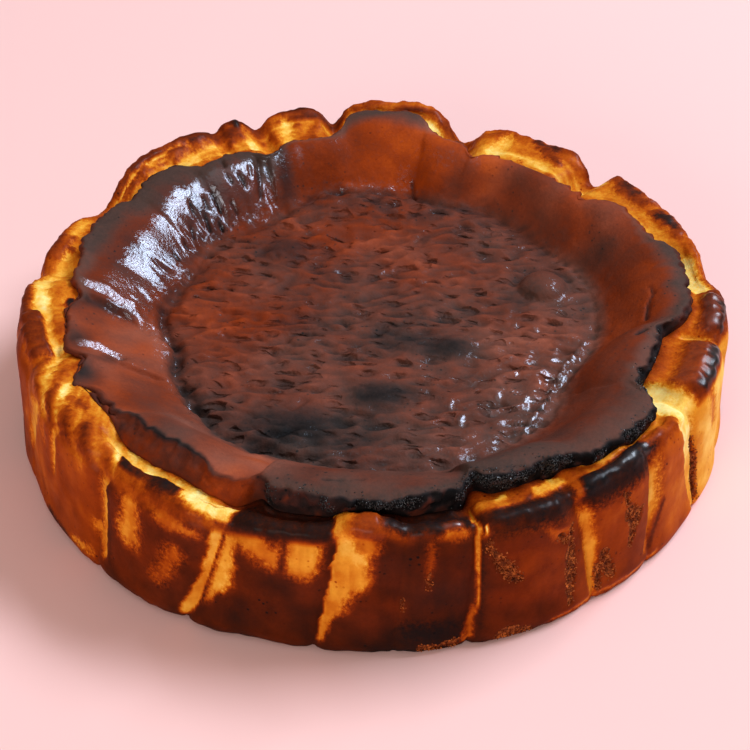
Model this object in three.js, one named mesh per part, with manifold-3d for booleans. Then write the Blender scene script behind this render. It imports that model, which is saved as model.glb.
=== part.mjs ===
// A whole basque cheesecake, baked dark in a tin lined with pleated paper: one solid, in millimetres, +Z up.
// The wall keeps the paper's creases and ends in uneven petals. Inside them a crack runs round the cake,
// and inside that the burnt skin rises to a broken lip, then falls to a sunken top with one blister.
// Angles are in degrees round +Z from +X, and -Y is the front.
import * as THREE from "three";
import { mergeVertices } from "three/addons/utils/BufferGeometryUtils.js";
import Module from "manifold-3d";

// Wall
const BASE_RADIUS = 118;
const WALL_TOP_RADIUS = 115.6;
const CREST_RADIUS = 114.6;
const FOOT_ROUND = 2.4;
const CREST_ROUND = 1.8;
const CREASE_AT_FOOT = 0.35;
// Crack between wall and skin
const CRACK_SHARE = 0.34;
const CRACK_BANK_SHARE = 0.63;
const CRACK_BANK_RISE = 0.35;
const CRACK_UNDER_CREST = 2.4;
// Burnt skin
const LIP_ROUND = 1.5;
const TONGUE_CROWN = 1.6;
// Sunken top
const FLOOR_HEIGHT = 34;
const FLOOR_HALF_X = 71.5;
const FLOOR_HALF_Y = 75;
const FLOOR_SHIFT_X = 3.5;
const FLOOR_DISH = 0.8;
// Blister
const BLISTER_X = 59;
const BLISTER_Y = 19;
const BLISTER_RADIUS = 8.2;
const BLISTER_HEIGHT = 4.6;
// Mesh
const STEPS = 160;
const BLISTER_SIDES = 20;

// Where the outline has points: shares of the wall's height, turns of its rounded edges, and shares of the floor.
const WALL_STATIONS = [0.25, 0.5, 0.75, 0.9];
const FOOT_TURNS = [-90, -45, 0];
const CREST_TURNS = [10, 60, 110, 150];
const LIP_TURNS = [0, 45, 95];
const FLOOR_STATIONS = [1, 0.9, 0.74, 0.56, 0.38, 0.2];
// The slope from the lip to the floor: share of the way out, share of the height, share of the swell.
const SLOPE_STATIONS = [
  { out: 0.86, up: 0.99, swell: 0.45 },
  { out: 0.72, up: 0.93, swell: 0.8 },
  { out: 0.56, up: 0.77, swell: 1 },
  { out: 0.4, up: 0.54, swell: 0.9 },
  { out: 0.25, up: 0.29, swell: 0.6 },
  { out: 0.12, up: 0.1, swell: 0.25 },
];

// Panels of the wall between two creases. Each starts at its crease, whose foot is turned by lean,
// stands out by bulge, and ends in a petal of the given height above the table, cut by a notch at the crease.
const PETALS = [
  { start: 5, lean: -2, crest: 48, notch: 3.5, width: 5, crease: 1.4, bulge: 0.2 },
  { start: 42.5, lean: 3, crest: 48.3, notch: 8, width: 3, crease: 2.2, bulge: -0.4 },
  { start: 72, lean: -3, crest: 53, notch: 10, width: 3.8, crease: 2.4, bulge: 0.3 },
  { start: 97.5, lean: 2, crest: 52, notch: 7.5, width: 2.4, crease: 2, bulge: -0.3 },
  { start: 113, lean: -2, crest: 52.4, notch: 5, width: 2.4, crease: 1.6, bulge: 0.2 },
  { start: 122, lean: 2, crest: 52, notch: 2.5, width: 2, crease: 1.2, bulge: -0.2 },
  { start: 148, lean: 3, crest: 45.6, notch: 6, width: 6, crease: 2, bulge: 0.3 },
  { start: 173, lean: -2, crest: 48, notch: 3, width: 3.5, crease: 1.6, bulge: 0.6 },
  { start: 199, lean: 3, crest: 46.4, notch: 2, width: 4, crease: 1.4, bulge: 0.6 },
  { start: 226, lean: -1.5, crest: 45, notch: 1.5, width: 2.4, crease: 1.9, bulge: 0.9 },
  { start: 249, lean: -7, crest: 44.4, notch: 2.5, width: 2.8, crease: 2.2, bulge: -0.8 },
  { start: 265.5, lean: -4, crest: 48.4, notch: 0.8, width: 2.2, crease: 1.8, bulge: -0.6 },
  { start: 275, lean: -2, crest: 46, notch: 2, width: 2.2, crease: 1, bulge: 0 },
  { start: 285, lean: -1, crest: 46.4, notch: 3, width: 1.8, crease: 1.8, bulge: 0.8 },
  { start: 300.5, lean: 4.5, crest: 47.8, notch: 2.2, width: 2, crease: 1.8, bulge: 0.1 },
  { start: 316, lean: 0.5, crest: 46.8, notch: 1.8, width: 2.2, crease: 1.4, bulge: -0.2 },
  { start: 327, lean: 3, crest: 48.6, notch: 3, width: 3, crease: 2.2, bulge: 0.7 },
  { start: 347, lean: -3, crest: 49, notch: 2.5, width: 2.6, crease: 1.6, bulge: 1.1 },
];

// Tongues of the burnt skin between two folds. reach is the radius of the broken edge, height the top of
// the lip, lip its drop to the crack and rake how far the foot of the broken face stands out from the edge.
// At the start a fold pulls the edge in by notch and runs down the slope.
const TONGUES = [
  { start: 15, reach: 100, height: 50, lip: 2, notch: 1.5, width: 3, fold: 0.4, rake: -0.8 },
  { start: 32, reach: 93.5, height: 49, lip: 1.8, notch: 1, width: 2.4, fold: 0.5, rake: -0.8 },
  { start: 66, reach: 97, height: 50, lip: 2, notch: 5, width: 2.6, fold: 1.8, rake: -0.8 },
  { start: 78, reach: 107, height: 54, lip: 2.4, notch: 0, width: 3, fold: 1.2, rake: -0.6 },
  { start: 96, reach: 94.5, height: 50.5, lip: 2.2, notch: 0, width: 3, fold: 0.3, rake: -0.8 },
  { start: 115, reach: 96, height: 50.5, lip: 2.4, notch: 6, width: 3.4, fold: 3.4, rake: -0.8 },
  { start: 133, reach: 103, height: 50.5, lip: 2.4, notch: 0.5, width: 3, fold: 0.4, rake: -0.8 },
  { start: 148, reach: 103, height: 49.5, lip: 2.4, notch: 4, width: 3, fold: 1, rake: -0.8 },
  { start: 168, reach: 99.5, height: 49.5, lip: 2.6, notch: 0, width: 3, fold: 0.3, rake: 0.4 },
  { start: 184, reach: 100, height: 48, lip: 3, notch: 3.5, width: 3.4, fold: 3, rake: 1.5 },
  { start: 203, reach: 101.5, height: 49.5, lip: 4, notch: 4, width: 2.6, fold: 1, rake: 2.5 },
  { start: 217, reach: 97.5, height: 50.3, lip: 6.5, notch: 0.5, width: 3, fold: 0.4, rake: 6 },
  { start: 242, reach: 104, height: 48.8, lip: 4, notch: 0, width: 3, fold: 0.3, rake: 3 },
  { start: 251.5, reach: 106, height: 51.5, lip: 6.5, notch: 4, width: 2.4, fold: 3, rake: -1 },
  { start: 286.5, reach: 103.5, height: 51.5, lip: 6, notch: 5, width: 2, fold: 2.6, rake: -1 },
  { start: 305, reach: 108, height: 51, lip: 5, notch: 0, width: 3, fold: 0.3, rake: -0.8 },
  { start: 326, reach: 95.5, height: 49.5, lip: 4, notch: 2, width: 2.6, fold: 1, rake: 1 },
  { start: 348, reach: 104.5, height: 50.5, lip: 3, notch: 1, width: 3, fold: 1, rake: 0 },
];
// Degrees over which one panel or tongue hands its values on to the next.
const HAND_ON = 1.1;

const TURN = 360;
const { degToRad } = THREE.MathUtils;
const wrap = (angle) => ((angle % TURN) + TURN) % TURN;
// Signed turn from one angle to another, from -180 to 180.
const swing = (from, to) => wrap(to - from + TURN / 2) - TURN / 2;
const bell = (angle, at, width) => Math.exp(-((swing(at, angle) / width) ** 2));
const mix = (a, b, share) => a + (b - a) * share;
const sumOf = (pieces, term) => pieces.reduce((total, piece) => total + term(piece), 0);

// The pieces of a ring, each with half its span and its middle.
const spans = (pieces) =>
  pieces.map((piece, i) => {
    const half = wrap(pieces[(i + 1) % pieces.length].start - piece.start) / 2;
    return { ...piece, half, middle: piece.start + half };
  });
const petals = spans(PETALS);
const tongues = spans(TONGUES);

// A value that each piece holds over its span and hands on softly to the next one.
function held(pieces, angle, key) {
  const weights = pieces.map((piece) => {
    const away = Math.abs(swing(piece.middle, angle)) - piece.half;
    return 1 / (1 + Math.exp(away / HAND_ON));
  });
  const total = weights.reduce((sum, weight) => sum + weight, 0);
  return pieces.reduce((sum, piece, i) => sum + weights[i] * piece[key], 0) / total;
}

// 1 at the middle of the piece that holds the angle, 0 at its ends.
function crown(pieces, angle) {
  const away = pieces.map((piece) => Math.abs(swing(piece.middle, angle)) / piece.half);
  return 1 - Math.min(1, ...away) ** 2;
}

// How far the paper's creases press the wall in, at a share of its height.
function creaseDepth(angle, share) {
  const strength = mix(CREASE_AT_FOOT, 1, share);
  return strength * sumOf(petals, (p) => p.crease * bell(angle, p.start + p.lean * (1 - share), p.width));
}

const crestHeight = (angle) =>
  held(petals, angle, "crest") - sumOf(petals, (p) => p.notch * bell(angle, p.start, p.width));

const edgeRadius = (angle) =>
  held(tongues, angle, "reach") - sumOf(tongues, (t) => t.notch * bell(angle, t.start, t.width));

const foldDepth = (angle) => sumOf(tongues, (t) => t.fold * bell(angle, t.start, t.width));

// Radius of the sunken floor's edge, an ellipse about a shifted middle, seen from the cake's axis.
function floorRadius(angle) {
  const x = Math.cos(degToRad(angle)) / FLOOR_HALF_X;
  const y = Math.sin(degToRad(angle)) / FLOOR_HALF_Y;
  const shift = FLOOR_SHIFT_X / FLOOR_HALF_X;
  const square = x * x + y * y;
  return (shift * x + Math.sqrt((shift * x) ** 2 + square * (1 - shift * shift))) / square;
}

const floorHeight = (share) => FLOOR_HEIGHT - FLOOR_DISH * (1 - share * share);

// Points of a rounded edge as [radius, height], at the given turns.
const roundEdge = (radius, height, round, turns) =>
  turns.map((turn) => [
    radius + round * Math.cos(degToRad(turn)),
    height + round * Math.sin(degToRad(turn)),
  ]);

// The cake's outline at one angle, from the middle of its base over the top to the middle, as [radius, height].
function sectionAt(angle) {
  const crest = crestHeight(angle);
  const bulge = held(petals, angle, "bulge");
  const wallRadius = (share) => mix(BASE_RADIUS, WALL_TOP_RADIUS, share) + bulge - creaseDepth(angle, share);
  const crestRadius = CREST_RADIUS + bulge - creaseDepth(angle, 1) - CREST_ROUND;
  const edge = edgeRadius(angle);
  const lip = held(tongues, angle, "height");
  const foot = edge + held(tongues, angle, "rake");
  const crack = Math.min(lip - held(tongues, angle, "lip"), crest - CRACK_UNDER_CREST);
  const crackRadius = mix(foot, crestRadius, CRACK_SHARE);
  const floor = floorRadius(angle);
  const swell = TONGUE_CROWN * crown(tongues, angle) - foldDepth(angle);
  return [
    [0, 0],
    ...roundEdge(wallRadius(0) - FOOT_ROUND, FOOT_ROUND, FOOT_ROUND, FOOT_TURNS),
    ...WALL_STATIONS.map((share) => [wallRadius(share), crest * share]),
    ...roundEdge(crestRadius, crest - CREST_ROUND, CREST_ROUND, CREST_TURNS),
    [mix(foot, crestRadius, CRACK_BANK_SHARE), mix(crack, crest, CRACK_BANK_RISE)],
    [crackRadius, crack],
    [foot, crack],
    [mix(foot, edge, 0.5), mix(crack, lip, 0.5)],
    ...roundEdge(edge - LIP_ROUND, lip - LIP_ROUND, LIP_ROUND, LIP_TURNS),
    ...SLOPE_STATIONS.map((station) => [
      mix(floor, edge, station.out),
      mix(FLOOR_HEIGHT, lip, station.up) + station.swell * swell,
    ]),
    ...FLOOR_STATIONS.map((share) => [floor * share, floorHeight(share)]),
    [0, floorHeight(0)],
  ];
}

// The section turned round the axis, then each column of points moved to the section at its own angle.
function cakeGeometry() {
  const outline = sectionAt(0).map(([radius, height]) => new THREE.Vector2(radius, height));
  const lathe = new THREE.LatheGeometry(outline, STEPS);
  const position = lathe.getAttribute("position");
  for (let step = 0; step <= STEPS; step++) {
    const angle = ((step % STEPS) * TURN) / STEPS;
    const column = sectionAt(angle);
    column.forEach(([radius, height], ring) => {
      const x = radius * Math.cos(degToRad(angle));
      const y = radius * Math.sin(degToRad(angle));
      position.setXYZ(step * column.length + ring, x, y, height);
    });
  }
  return lathe;
}

// A low dome whose lower half is sunk in the floor.
function blisterGeometry() {
  const dome = new THREE.SphereGeometry(1, BLISTER_SIDES, BLISTER_SIDES / 2);
  dome.rotateX(Math.PI / 2);
  dome.scale(BLISTER_RADIUS, BLISTER_RADIUS, BLISTER_HEIGHT);
  dome.translate(BLISTER_X, BLISTER_Y, FLOOR_HEIGHT);
  return dome;
}

const wasm = await Module();
wasm.setup();

function toSolid(geometry) {
  geometry.deleteAttribute("normal");
  geometry.deleteAttribute("uv");
  const merged = mergeVertices(geometry);
  const vertProperties = new Float32Array(merged.getAttribute("position").array);
  const triVerts = new Uint32Array(merged.index.array);
  return new wasm.Manifold(new wasm.Mesh({ numProp: 3, vertProperties, triVerts }));
}

function toGeometry(solid) {
  const { vertProperties, triVerts } = solid.getMesh();
  const geometry = new THREE.BufferGeometry();
  geometry.setAttribute("position", new THREE.BufferAttribute(vertProperties, 3));
  geometry.setIndex(new THREE.BufferAttribute(triVerts, 1));
  geometry.computeVertexNormals();
  return geometry;
}

// The cake stands with the middle of its outline over the origin.
function centred(geometry) {
  geometry.computeBoundingBox();
  const middle = geometry.boundingBox.getCenter(new THREE.Vector3());
  return geometry.translate(-middle.x, -middle.y, 0);
}

const bakedCustard = new THREE.MeshStandardMaterial({ color: 0x5a2a17, roughness: 0.5, metalness: 0 });
const solid = toSolid(cakeGeometry()).add(toSolid(blisterGeometry()));
const cheesecake = new THREE.Mesh(centred(toGeometry(solid)), bakedCustard);
cheesecake.name = "cheesecake";

const part = new THREE.Group();
part.add(cheesecake);
export default part;
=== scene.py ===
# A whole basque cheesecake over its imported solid: a creased custard body, the burnt skin that covers
# its top, and the loose char and crumb along broken edges. Shapes are worked out in millimetres.
import itertools
import math

import bpy
import numpy as np
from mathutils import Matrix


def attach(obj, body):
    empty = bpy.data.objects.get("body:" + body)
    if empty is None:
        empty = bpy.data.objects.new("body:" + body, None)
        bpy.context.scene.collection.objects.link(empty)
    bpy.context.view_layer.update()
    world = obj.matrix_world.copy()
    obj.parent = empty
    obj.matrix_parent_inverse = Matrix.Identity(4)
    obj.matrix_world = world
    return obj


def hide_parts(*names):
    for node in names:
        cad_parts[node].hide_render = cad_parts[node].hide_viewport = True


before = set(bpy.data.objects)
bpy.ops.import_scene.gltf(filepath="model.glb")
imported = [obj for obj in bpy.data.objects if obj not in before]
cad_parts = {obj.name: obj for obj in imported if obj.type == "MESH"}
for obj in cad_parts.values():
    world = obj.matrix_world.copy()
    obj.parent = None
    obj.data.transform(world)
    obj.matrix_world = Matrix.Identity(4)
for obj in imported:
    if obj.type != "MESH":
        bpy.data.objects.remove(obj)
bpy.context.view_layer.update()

# Custard body
# The cake under its skin: cream cheese custard baked in a tin lined with pleated paper. The paper's folds
# press creases into the wall and part its top into petals; inside them the custard has cracked open.
MM = 0.001
TURN = 360.0
STEPS = 960
BASE_RADIUS = 118.0
WALL_TOP_RADIUS = 115.6
CREST_RADIUS = 114.6
FOOT_ROUND = 2.4
CREST_ROUND = 1.8
SOFT_ROUND = 5.5
CREASE_AT_FOOT = 0.35
CRACK_SHARE = 0.34
CRACK_BANK_SHARE = 0.63
CRACK_BANK_RISE = 0.35
CRACK_UNDER_CREST = 2.4
SOFT_UNDER_CREST = 0.3
HAND_ON = 1.1

# One row a wall panel: its crease's angle and lean, height of its petal, notch depth and width in degrees,
# crease depth, bulge, how soft its top edge is, then how far the panel, the petal's tip and the crack inside
# it are baked, from 0 for pale custard to 1 for char.
PETAL_KEYS = ("start", "lean", "crest", "notch", "width", "crease", "bulge", "soft", "panel", "tip", "crack")
PETAL_ROWS = (
    (5, -2, 48, 3.5, 5, 1.4, 0.2, 0.3, 0.58, 0.46, 0.3),
    (42.5, 3, 48.3, 8, 3, 2.2, -0.4, 0.1, 0.58, 0.5, 0.3),
    (72, -3, 53, 10, 3.8, 2.4, 0.3, 0, 0.56, 0.5, 0.34),
    (97.5, 2, 52, 7.5, 2.4, 2, -0.3, 0, 0.6, 0.56, 0.34),
    (113, -2, 52.4, 5, 2.4, 1.6, 0.2, 0, 0.6, 0.56, 0.36),
    (122, 2, 52, 2.5, 2, 1.2, -0.2, 0.1, 0.6, 0.56, 0.32),
    (148, 3, 45.6, 6, 6, 2, 0.3, 0.5, 0.58, 0.46, 0.34),
    (173, -2, 48, 3, 3.5, 1.6, 0.6, 0.7, 0.53, 0.5, 0.32),
    (199, 3, 47.6, 2, 4, 1.4, 0.6, 1, 0.49, 0.46, 0.34),
    (226, -1.5, 45, 1.5, 2.4, 1.9, 0.9, 0.9, 0.66, 0.5, 0.24),
    (249, -7, 44.4, 2.5, 2.8, 2.2, -0.8, 0.4, 0.7, 0.8, 0.8),
    (265.5, -4, 48.4, 0.8, 2.2, 1.8, -0.6, 0.6, 0.75, 0.46, 0.6),
    (275, -2, 46, 2, 2.2, 1, 0, 0.3, 0.79, 0.72, 0.85),
    (285, -1, 46.4, 3, 1.8, 1.8, 0.8, 0.3, 0.62, 0.8, 0.4),
    (300.5, 4.5, 47.8, 2.2, 2, 1.8, 0.1, 0.3, 0.5, 0.85, 0.4),
    (316, 0.5, 46.8, 1.8, 2.2, 1.4, -0.2, 0.3, 0.43, 0.5, 0.3),
    (329, 3, 48.6, 3, 3, 2.2, 0.7, 0.4, 0.12, 0.6, 0.42),
    (347, -3, 49, 2.5, 2.6, 1.6, 1.1, 0.3, 0.25, 0.6, 0.4),
)
# One row a tongue of skin: the angle of the fold it starts at, radius of its broken edge, height of its lip,
# drop to the crack, depth and width of the notch at the fold, depth of the fold down the slope, how far the
# tongue before the fold stands over this one, rake of the broken face and size of the teeth along its edge.
# Then how far its slope is baked, how far it has a pale bloom, width of the matte char behind the edge, char
# on the face, gloss, and how many degrees the fold turns for each mm that it runs down the slope.
TONGUE_KEYS = (
    "start", "reach", "height", "lip", "notch", "width", "fold", "step", "rake", "teeth",
    "tone", "bloom", "ash", "char", "gloss", "skew",
)
TONGUE_ROWS = (
    (15, 100, 50, 1.6, 1.5, 3, 0.4, 0.2, -0.8, 1.0, 0.45, 0.4, 4, 0.3, 0.1, 0),
    (32, 93.5, 49, 1.2, 1, 2.4, 0.5, 0.2, -0.8, 2.4, 0.48, 0.35, 2, 0.2, 0.1, 0),
    (66, 97, 50, 2, 5, 2.6, 1.4, 0.4, -0.8, 0.8, 0.34, 0, 3, 0.4, 0.2, 0),
    (78, 107, 54, 2.4, 0, 3, 0.4, 0.5, -0.6, 0.5, 0.36, 0, 9, 0.4, 0.14, 0),
    (96, 94.5, 50.5, 2.2, 0, 3, 0.3, 0, -0.8, 0.7, 0.42, 0, 5, 0.5, 0.12, 0),
    (115, 96, 50.5, 2, 6, 3.4, 3.4, 1.8, -0.8, 0.8, 0.64, 0, 12, 0.6, 1, 0.14),
    (133, 103, 50.5, 2, 0.5, 3, 0.5, 0.3, -0.8, 0.9, 0.66, 0, 14, 0.7, 1, 0),
    (148, 103, 49.5, 1.8, 4, 3, 0.5, 0.4, -0.8, 0.6, 0.62, 0, 11, 0.5, 1, 0),
    (168, 99.5, 49.5, 1.6, 0, 3, 0.3, 0, 0.2, 0.5, 0.56, 0, 6, 0.35, 0.9, 0),
    (182.5, 100, 47.8, 1.2, 3.5, 3.4, 0.8, 1.7, 0.4, 0.8, 0.35, 0.52, 3, 0.45, 0.15, 0.15),
    (202.2, 101.5, 47.6, 0.4, 4, 2.6, 0.3, 1.2, 0.6, 1.1, 0.4, 0.36, 3, 0.5, 0.12, 0.37),
    (221.5, 98.5, 49.6, 6.5, 0.5, 3, 0.4, 0, 6, 0.9, 0.42, 0.7, 3, 0.4, 0.08, 0),
    (242, 104, 48.8, 3.4, 0, 3, 0.3, 0, 3, 0.5, 0.2, 0.5, 0, 0.1, 0.15, 0),
    (251.5, 106, 51.5, 6.5, 5, 2.2, 2.2, -2.4, -1, 0.9, 0.58, 0.8, 8, 1, 0.05, 0),
    (286.5, 103.5, 51.5, 6, 5, 2, 2, -1.3, -1, 0.9, 0.58, 0.5, 16, 1, 0.05, 0),
    (305, 108, 51, 5, 0, 3, 0.3, 0, -0.8, 0.9, 0.54, 0.3, 14, 1, 0.05, 0),
    (326, 95.5, 49.5, 4, 2, 2.6, 1, 0.6, 1, 1.4, 0.48, 0.2, 6, 0.9, 0.12, 0),
    (348, 104.5, 50.5, 2.2, 1, 3, 1, 0.4, 0, 1.2, 0.44, 0.1, 9, 0.6, 0.1, 0),
)


def mix(a, b, share):
    """a at share 0 and b at share 1."""
    return a + (b - a) * share


def ease(low, high, value):
    """0 at low and 1 at high, with a soft rise between them."""
    share = np.clip((value - low) / (high - low), 0, 1)
    return share * share * (3 - 2 * share)


def swing(start, end):
    """Signed turn from one angle to another, from -180 to 180 degrees."""
    return np.mod(end - start + TURN / 2, TURN) - TURN / 2


def hump(value, at, half):
    """1 where the value is at the middle, falling off softly over the half width."""
    return np.exp(-(((value - at) / half) ** 2))


def bell(angle, at, half):
    """The same round the cake, in degrees."""
    return hump(swing(at, angle), 0, half)


def waves(angle, rows):
    """The sum of bells round the cake, each as its angle, half width in degrees and amount."""
    return sum(amount * bell(angle, at, half) for at, half, amount in rows)


def ring_of(keys, rows):
    """The pieces of a ring as one array a value, each with half its span and its middle."""
    ring = dict(zip(keys, np.array(rows, float).T))
    ring["half"] = np.mod(np.roll(ring["start"], -1) - ring["start"], TURN) / 2
    ring["middle"] = ring["start"] + ring["half"]
    return ring


def held(ring, angle, key, hand_on=HAND_ON):
    """A value that each piece holds over its span and hands on softly to the next one."""
    away = np.abs(swing(ring["middle"][:, None], angle)) - ring["half"][:, None]
    weight = 1 / (1 + np.exp(np.clip(away / hand_on, -40, 40)))
    return (weight * ring[key][:, None]).sum(0) / weight.sum(0)


def cut_by(ring, angle, key):
    """The sum of the ring's notches or folds at each angle."""
    return (ring[key][:, None] * bell(angle, ring["start"][:, None], ring["width"][:, None])).sum(0)


def crown(ring, angle):
    """1 at the middle of the piece that holds the angle, 0 at its ends."""
    away = np.abs(swing(ring["middle"][:, None], angle)) / ring["half"][:, None]
    return 1 - np.minimum(1, away.min(0)) ** 2


petals = ring_of(PETAL_KEYS, PETAL_ROWS)
tongues = ring_of(TONGUE_KEYS, TONGUE_ROWS)
angles = np.arange(STEPS) * TURN / STEPS


def crease_depth(angle, share):
    """How far the paper's creases press the wall in, at a share of its height."""
    line = petals["start"][:, None] + petals["lean"][:, None] * (1 - share)
    pressed = petals["crease"][:, None] * bell(angle, line, petals["width"][:, None])
    return mix(CREASE_AT_FOOT, 1, share) * pressed.sum(0)


NOISE_SEED = 11
NOISE_REACH = 1.7
NOISE_SHIFT = 17.31
noise_draw = np.random.default_rng(NOISE_SEED)
noise_order = noise_draw.permutation(256)
noise_slopes = noise_draw.normal(size=(256, 3))
noise_slopes /= np.linalg.norm(noise_slopes, axis=1, keepdims=True)


def noise(points, size, shift=0.0):
    """Smooth unevenness from about -1 to 1, with lumps of the given size in mm along each axis."""
    cell = points / np.asarray(size, float) + shift * NOISE_SHIFT
    corner = np.floor(cell).astype(int)
    part = cell - corner
    fade = part ** 3 * (part * (part * 6 - 15) + 10)
    total = np.zeros(points.shape[:-1])
    for offset in itertools.product((0, 1), repeat=3):
        x, y, z = np.moveaxis(corner + offset, -1, 0) & 255
        slope = noise_slopes[noise_order[(noise_order[(noise_order[x] + y) & 255] + z) & 255]]
        weight = np.where(offset, fade, 1 - fade).prod(-1)
        total += weight * ((part - offset) * slope).sum(-1)
    return total * NOISE_REACH


def lumpy(points, layers):
    """Noises added up, each layer as its amount, the size of its lumps in mm and a shift."""
    return sum(amount * noise(points, size, shift) for amount, size, shift in layers)


def round_edge(radius, height, size, turns):
    """Stations of a rounded edge, at the given turns in degrees."""
    turns = [np.radians(turn) for turn in turns]
    return [(radius + size * np.cos(turn), height + size * np.sin(turn)) for turn in turns]


def stations(points):
    """Radius and height of each station at every angle, as one array."""
    line = [[np.broadcast_to(value, (STEPS,)) for value in point] for point in points]
    return np.array(line).transpose(0, 2, 1)


def swept(line, spacing):
    """Smooth curves through the stations with a point about every spacing mm, and its place among them."""
    length = np.linalg.norm(np.diff(line, axis=0), axis=2).mean(1)
    counts = np.maximum(1, np.round(length / spacing)).astype(int)
    place = np.concatenate([k + np.arange(n) / n for k, n in enumerate(counts)] + [[len(counts)]])
    step = length[:, None, None]
    run = np.diff(line, axis=0) / step
    inner = (run[1:] * step[:-1] + run[:-1] * step[1:]) / (step[1:] + step[:-1])
    pull = np.concatenate([run[:1], inner, run[-1:]])
    k = np.minimum(place.astype(int), len(counts) - 1)
    t = (place - k)[:, None, None]
    start, end = line[k], line[k + 1]
    bend_in, bend_out = pull[k] * step[k], pull[k + 1] * step[k]
    curve = (start * (2 * t ** 3 - 3 * t ** 2 + 1) + bend_in * (t ** 3 - 2 * t ** 2 + t)
             + end * (3 * t ** 2 - 2 * t ** 3) + bend_out * (t ** 3 - t ** 2))
    return curve, place


def turned(curve, angle):
    """Points in space from radius and height at each angle."""
    a = np.radians(angle)
    return np.stack([curve[..., 0] * np.cos(a), curve[..., 0] * np.sin(a), curve[..., 1]], -1)


def outward(points):
    """Unit normals of a grid of points that runs up the section and round the cake."""
    along = np.gradient(points, axis=0)
    around = np.roll(points, -1, 1) - np.roll(points, 1, 1)
    normal = np.cross(around, along)
    return normal / np.maximum(np.linalg.norm(normal, axis=-1, keepdims=True), 1e-9)


def ring_faces(first, count, after, next_count):
    """Faces between two rings of points, one of them with half the points of the other or just one."""
    if count == 1:
        return [(first, after + (j + 1) % next_count, after + j) for j in range(next_count)]
    if next_count == 1:
        return [(first + j, first + (j + 1) % count, after) for j in range(count)]
    if count == next_count:
        following = [(j + 1) % count for j in range(count)]
        return [(first + j, first + n, after + n, after + j) for j, n in enumerate(following)]
    faces = []
    for j in range(next_count):
        a, b, c = first + 2 * j, first + 2 * j + 1, first + (2 * j + 2) % count
        p, q = after + j, after + (j + 1) % next_count
        faces += [(a, b, p), (b, q, p), (b, c, q)]
    return faces


def closed_piece(name, rings, marks):
    """A closed mesh through rings of points in mm, with one attribute a mark, smooth and at the origin."""
    faces = []
    first = 0
    for ring, following in zip(rings, rings[1:]):
        faces += ring_faces(first, len(ring), first + len(ring), len(following))
        first += len(ring)
    mesh = bpy.data.meshes.new(name)
    mesh.from_pydata((np.concatenate(rings) * MM).tolist(), [], faces)
    for mark, values in marks.items():
        flat = np.clip(np.concatenate(values), 0, 1).astype(np.float32)
        mesh.attributes.new(mark, "FLOAT", "POINT").data.foreach_set("value", flat)
    mesh.shade_smooth()
    piece = bpy.data.objects.new(name, mesh)
    bpy.context.scene.collection.objects.link(piece)
    return piece


# Heights and radii that wall, crack and skin share at every angle
crest = held(petals, angles, "crest") - cut_by(petals, angles, "notch")
bulge = held(petals, angles, "bulge")
edge = held(tongues, angles, "reach") - cut_by(tongues, angles, "notch")
lip = held(tongues, angles, "height")
face_foot = edge + held(tongues, angles, "rake")
soft_top = held(petals, angles, "soft", 3.0)
under_crest = mix(CRACK_UNDER_CREST, SOFT_UNDER_CREST, soft_top)
crack = np.minimum(lip - held(tongues, angles, "lip"), crest - under_crest)
crest_round = mix(CREST_ROUND, SOFT_ROUND, soft_top)
crest_radius = CREST_RADIUS + bulge - crease_depth(angles, 1) - crest_round


def wall_radius(share):
    """Radius of the wall at every angle, at a share of its height."""
    return mix(BASE_RADIUS, WALL_TOP_RADIUS, share) + bulge - crease_depth(angles, share)


# The section of the body from its foot up the wall, over the crest and down into the crack under the skin
WALL_SPACING = 0.95
CREST_EDGE = 2.5
WALL_STATIONS = (0.25, 0.5, 0.72, 0.85)
CREST_TURNS = (10, 45, 80)
LAST_TURN, SOFT_LAST_TURN = 115, 95
CORE_HEIGHT = 22.0
CORE_INSET = 8.0
RAGGED = ((0.5, 7, 1), (0.35, 2.5, 2), (0.25, (1.1, 1.1, 2.2), 6))
foot_line = round_edge(wall_radius(0) - FOOT_ROUND, FOOT_ROUND, FOOT_ROUND, (-90, -45, 0))
wall_line = [(wall_radius(share), crest * share) for share in WALL_STATIONS]
crest_turns = (*CREST_TURNS, mix(LAST_TURN, SOFT_LAST_TURN, soft_top))
crest_line = round_edge(crest_radius, crest - crest_round, crest_round, crest_turns)
crack_line = [
    (mix(face_foot, crest_radius, CRACK_BANK_SHARE), mix(crack, crest, CRACK_BANK_RISE)),
    (mix(face_foot, crest_radius, CRACK_SHARE), crack),
    (face_foot, crack),
    (face_foot - 4, crack - 2.5),
]
body_curve, body_place = swept(stations(foot_line + wall_line + crest_line + crack_line), WALL_SPACING)
body = turned(body_curve, angles)
wall_end = len(foot_line) + len(wall_line)
over = (body_place - wall_end)[:, None]
step_up = np.linalg.norm(np.diff(body, axis=0), axis=2)
inward = np.concatenate([np.zeros((1, STEPS)), np.cumsum(step_up, axis=0)])
inward = inward - inward[np.searchsorted(over[:, 0], 0.0)] - CREST_EDGE
on_wall = 1 - ease(-5.0, -1.5, inward)
on_ring = 1 - on_wall
under_skin = ease(5.1, 6.0, over)
on_foot = (1 - ease(0.5, 2.4, body_place))[:, None]
ragged = lumpy(body, RAGGED)

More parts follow.
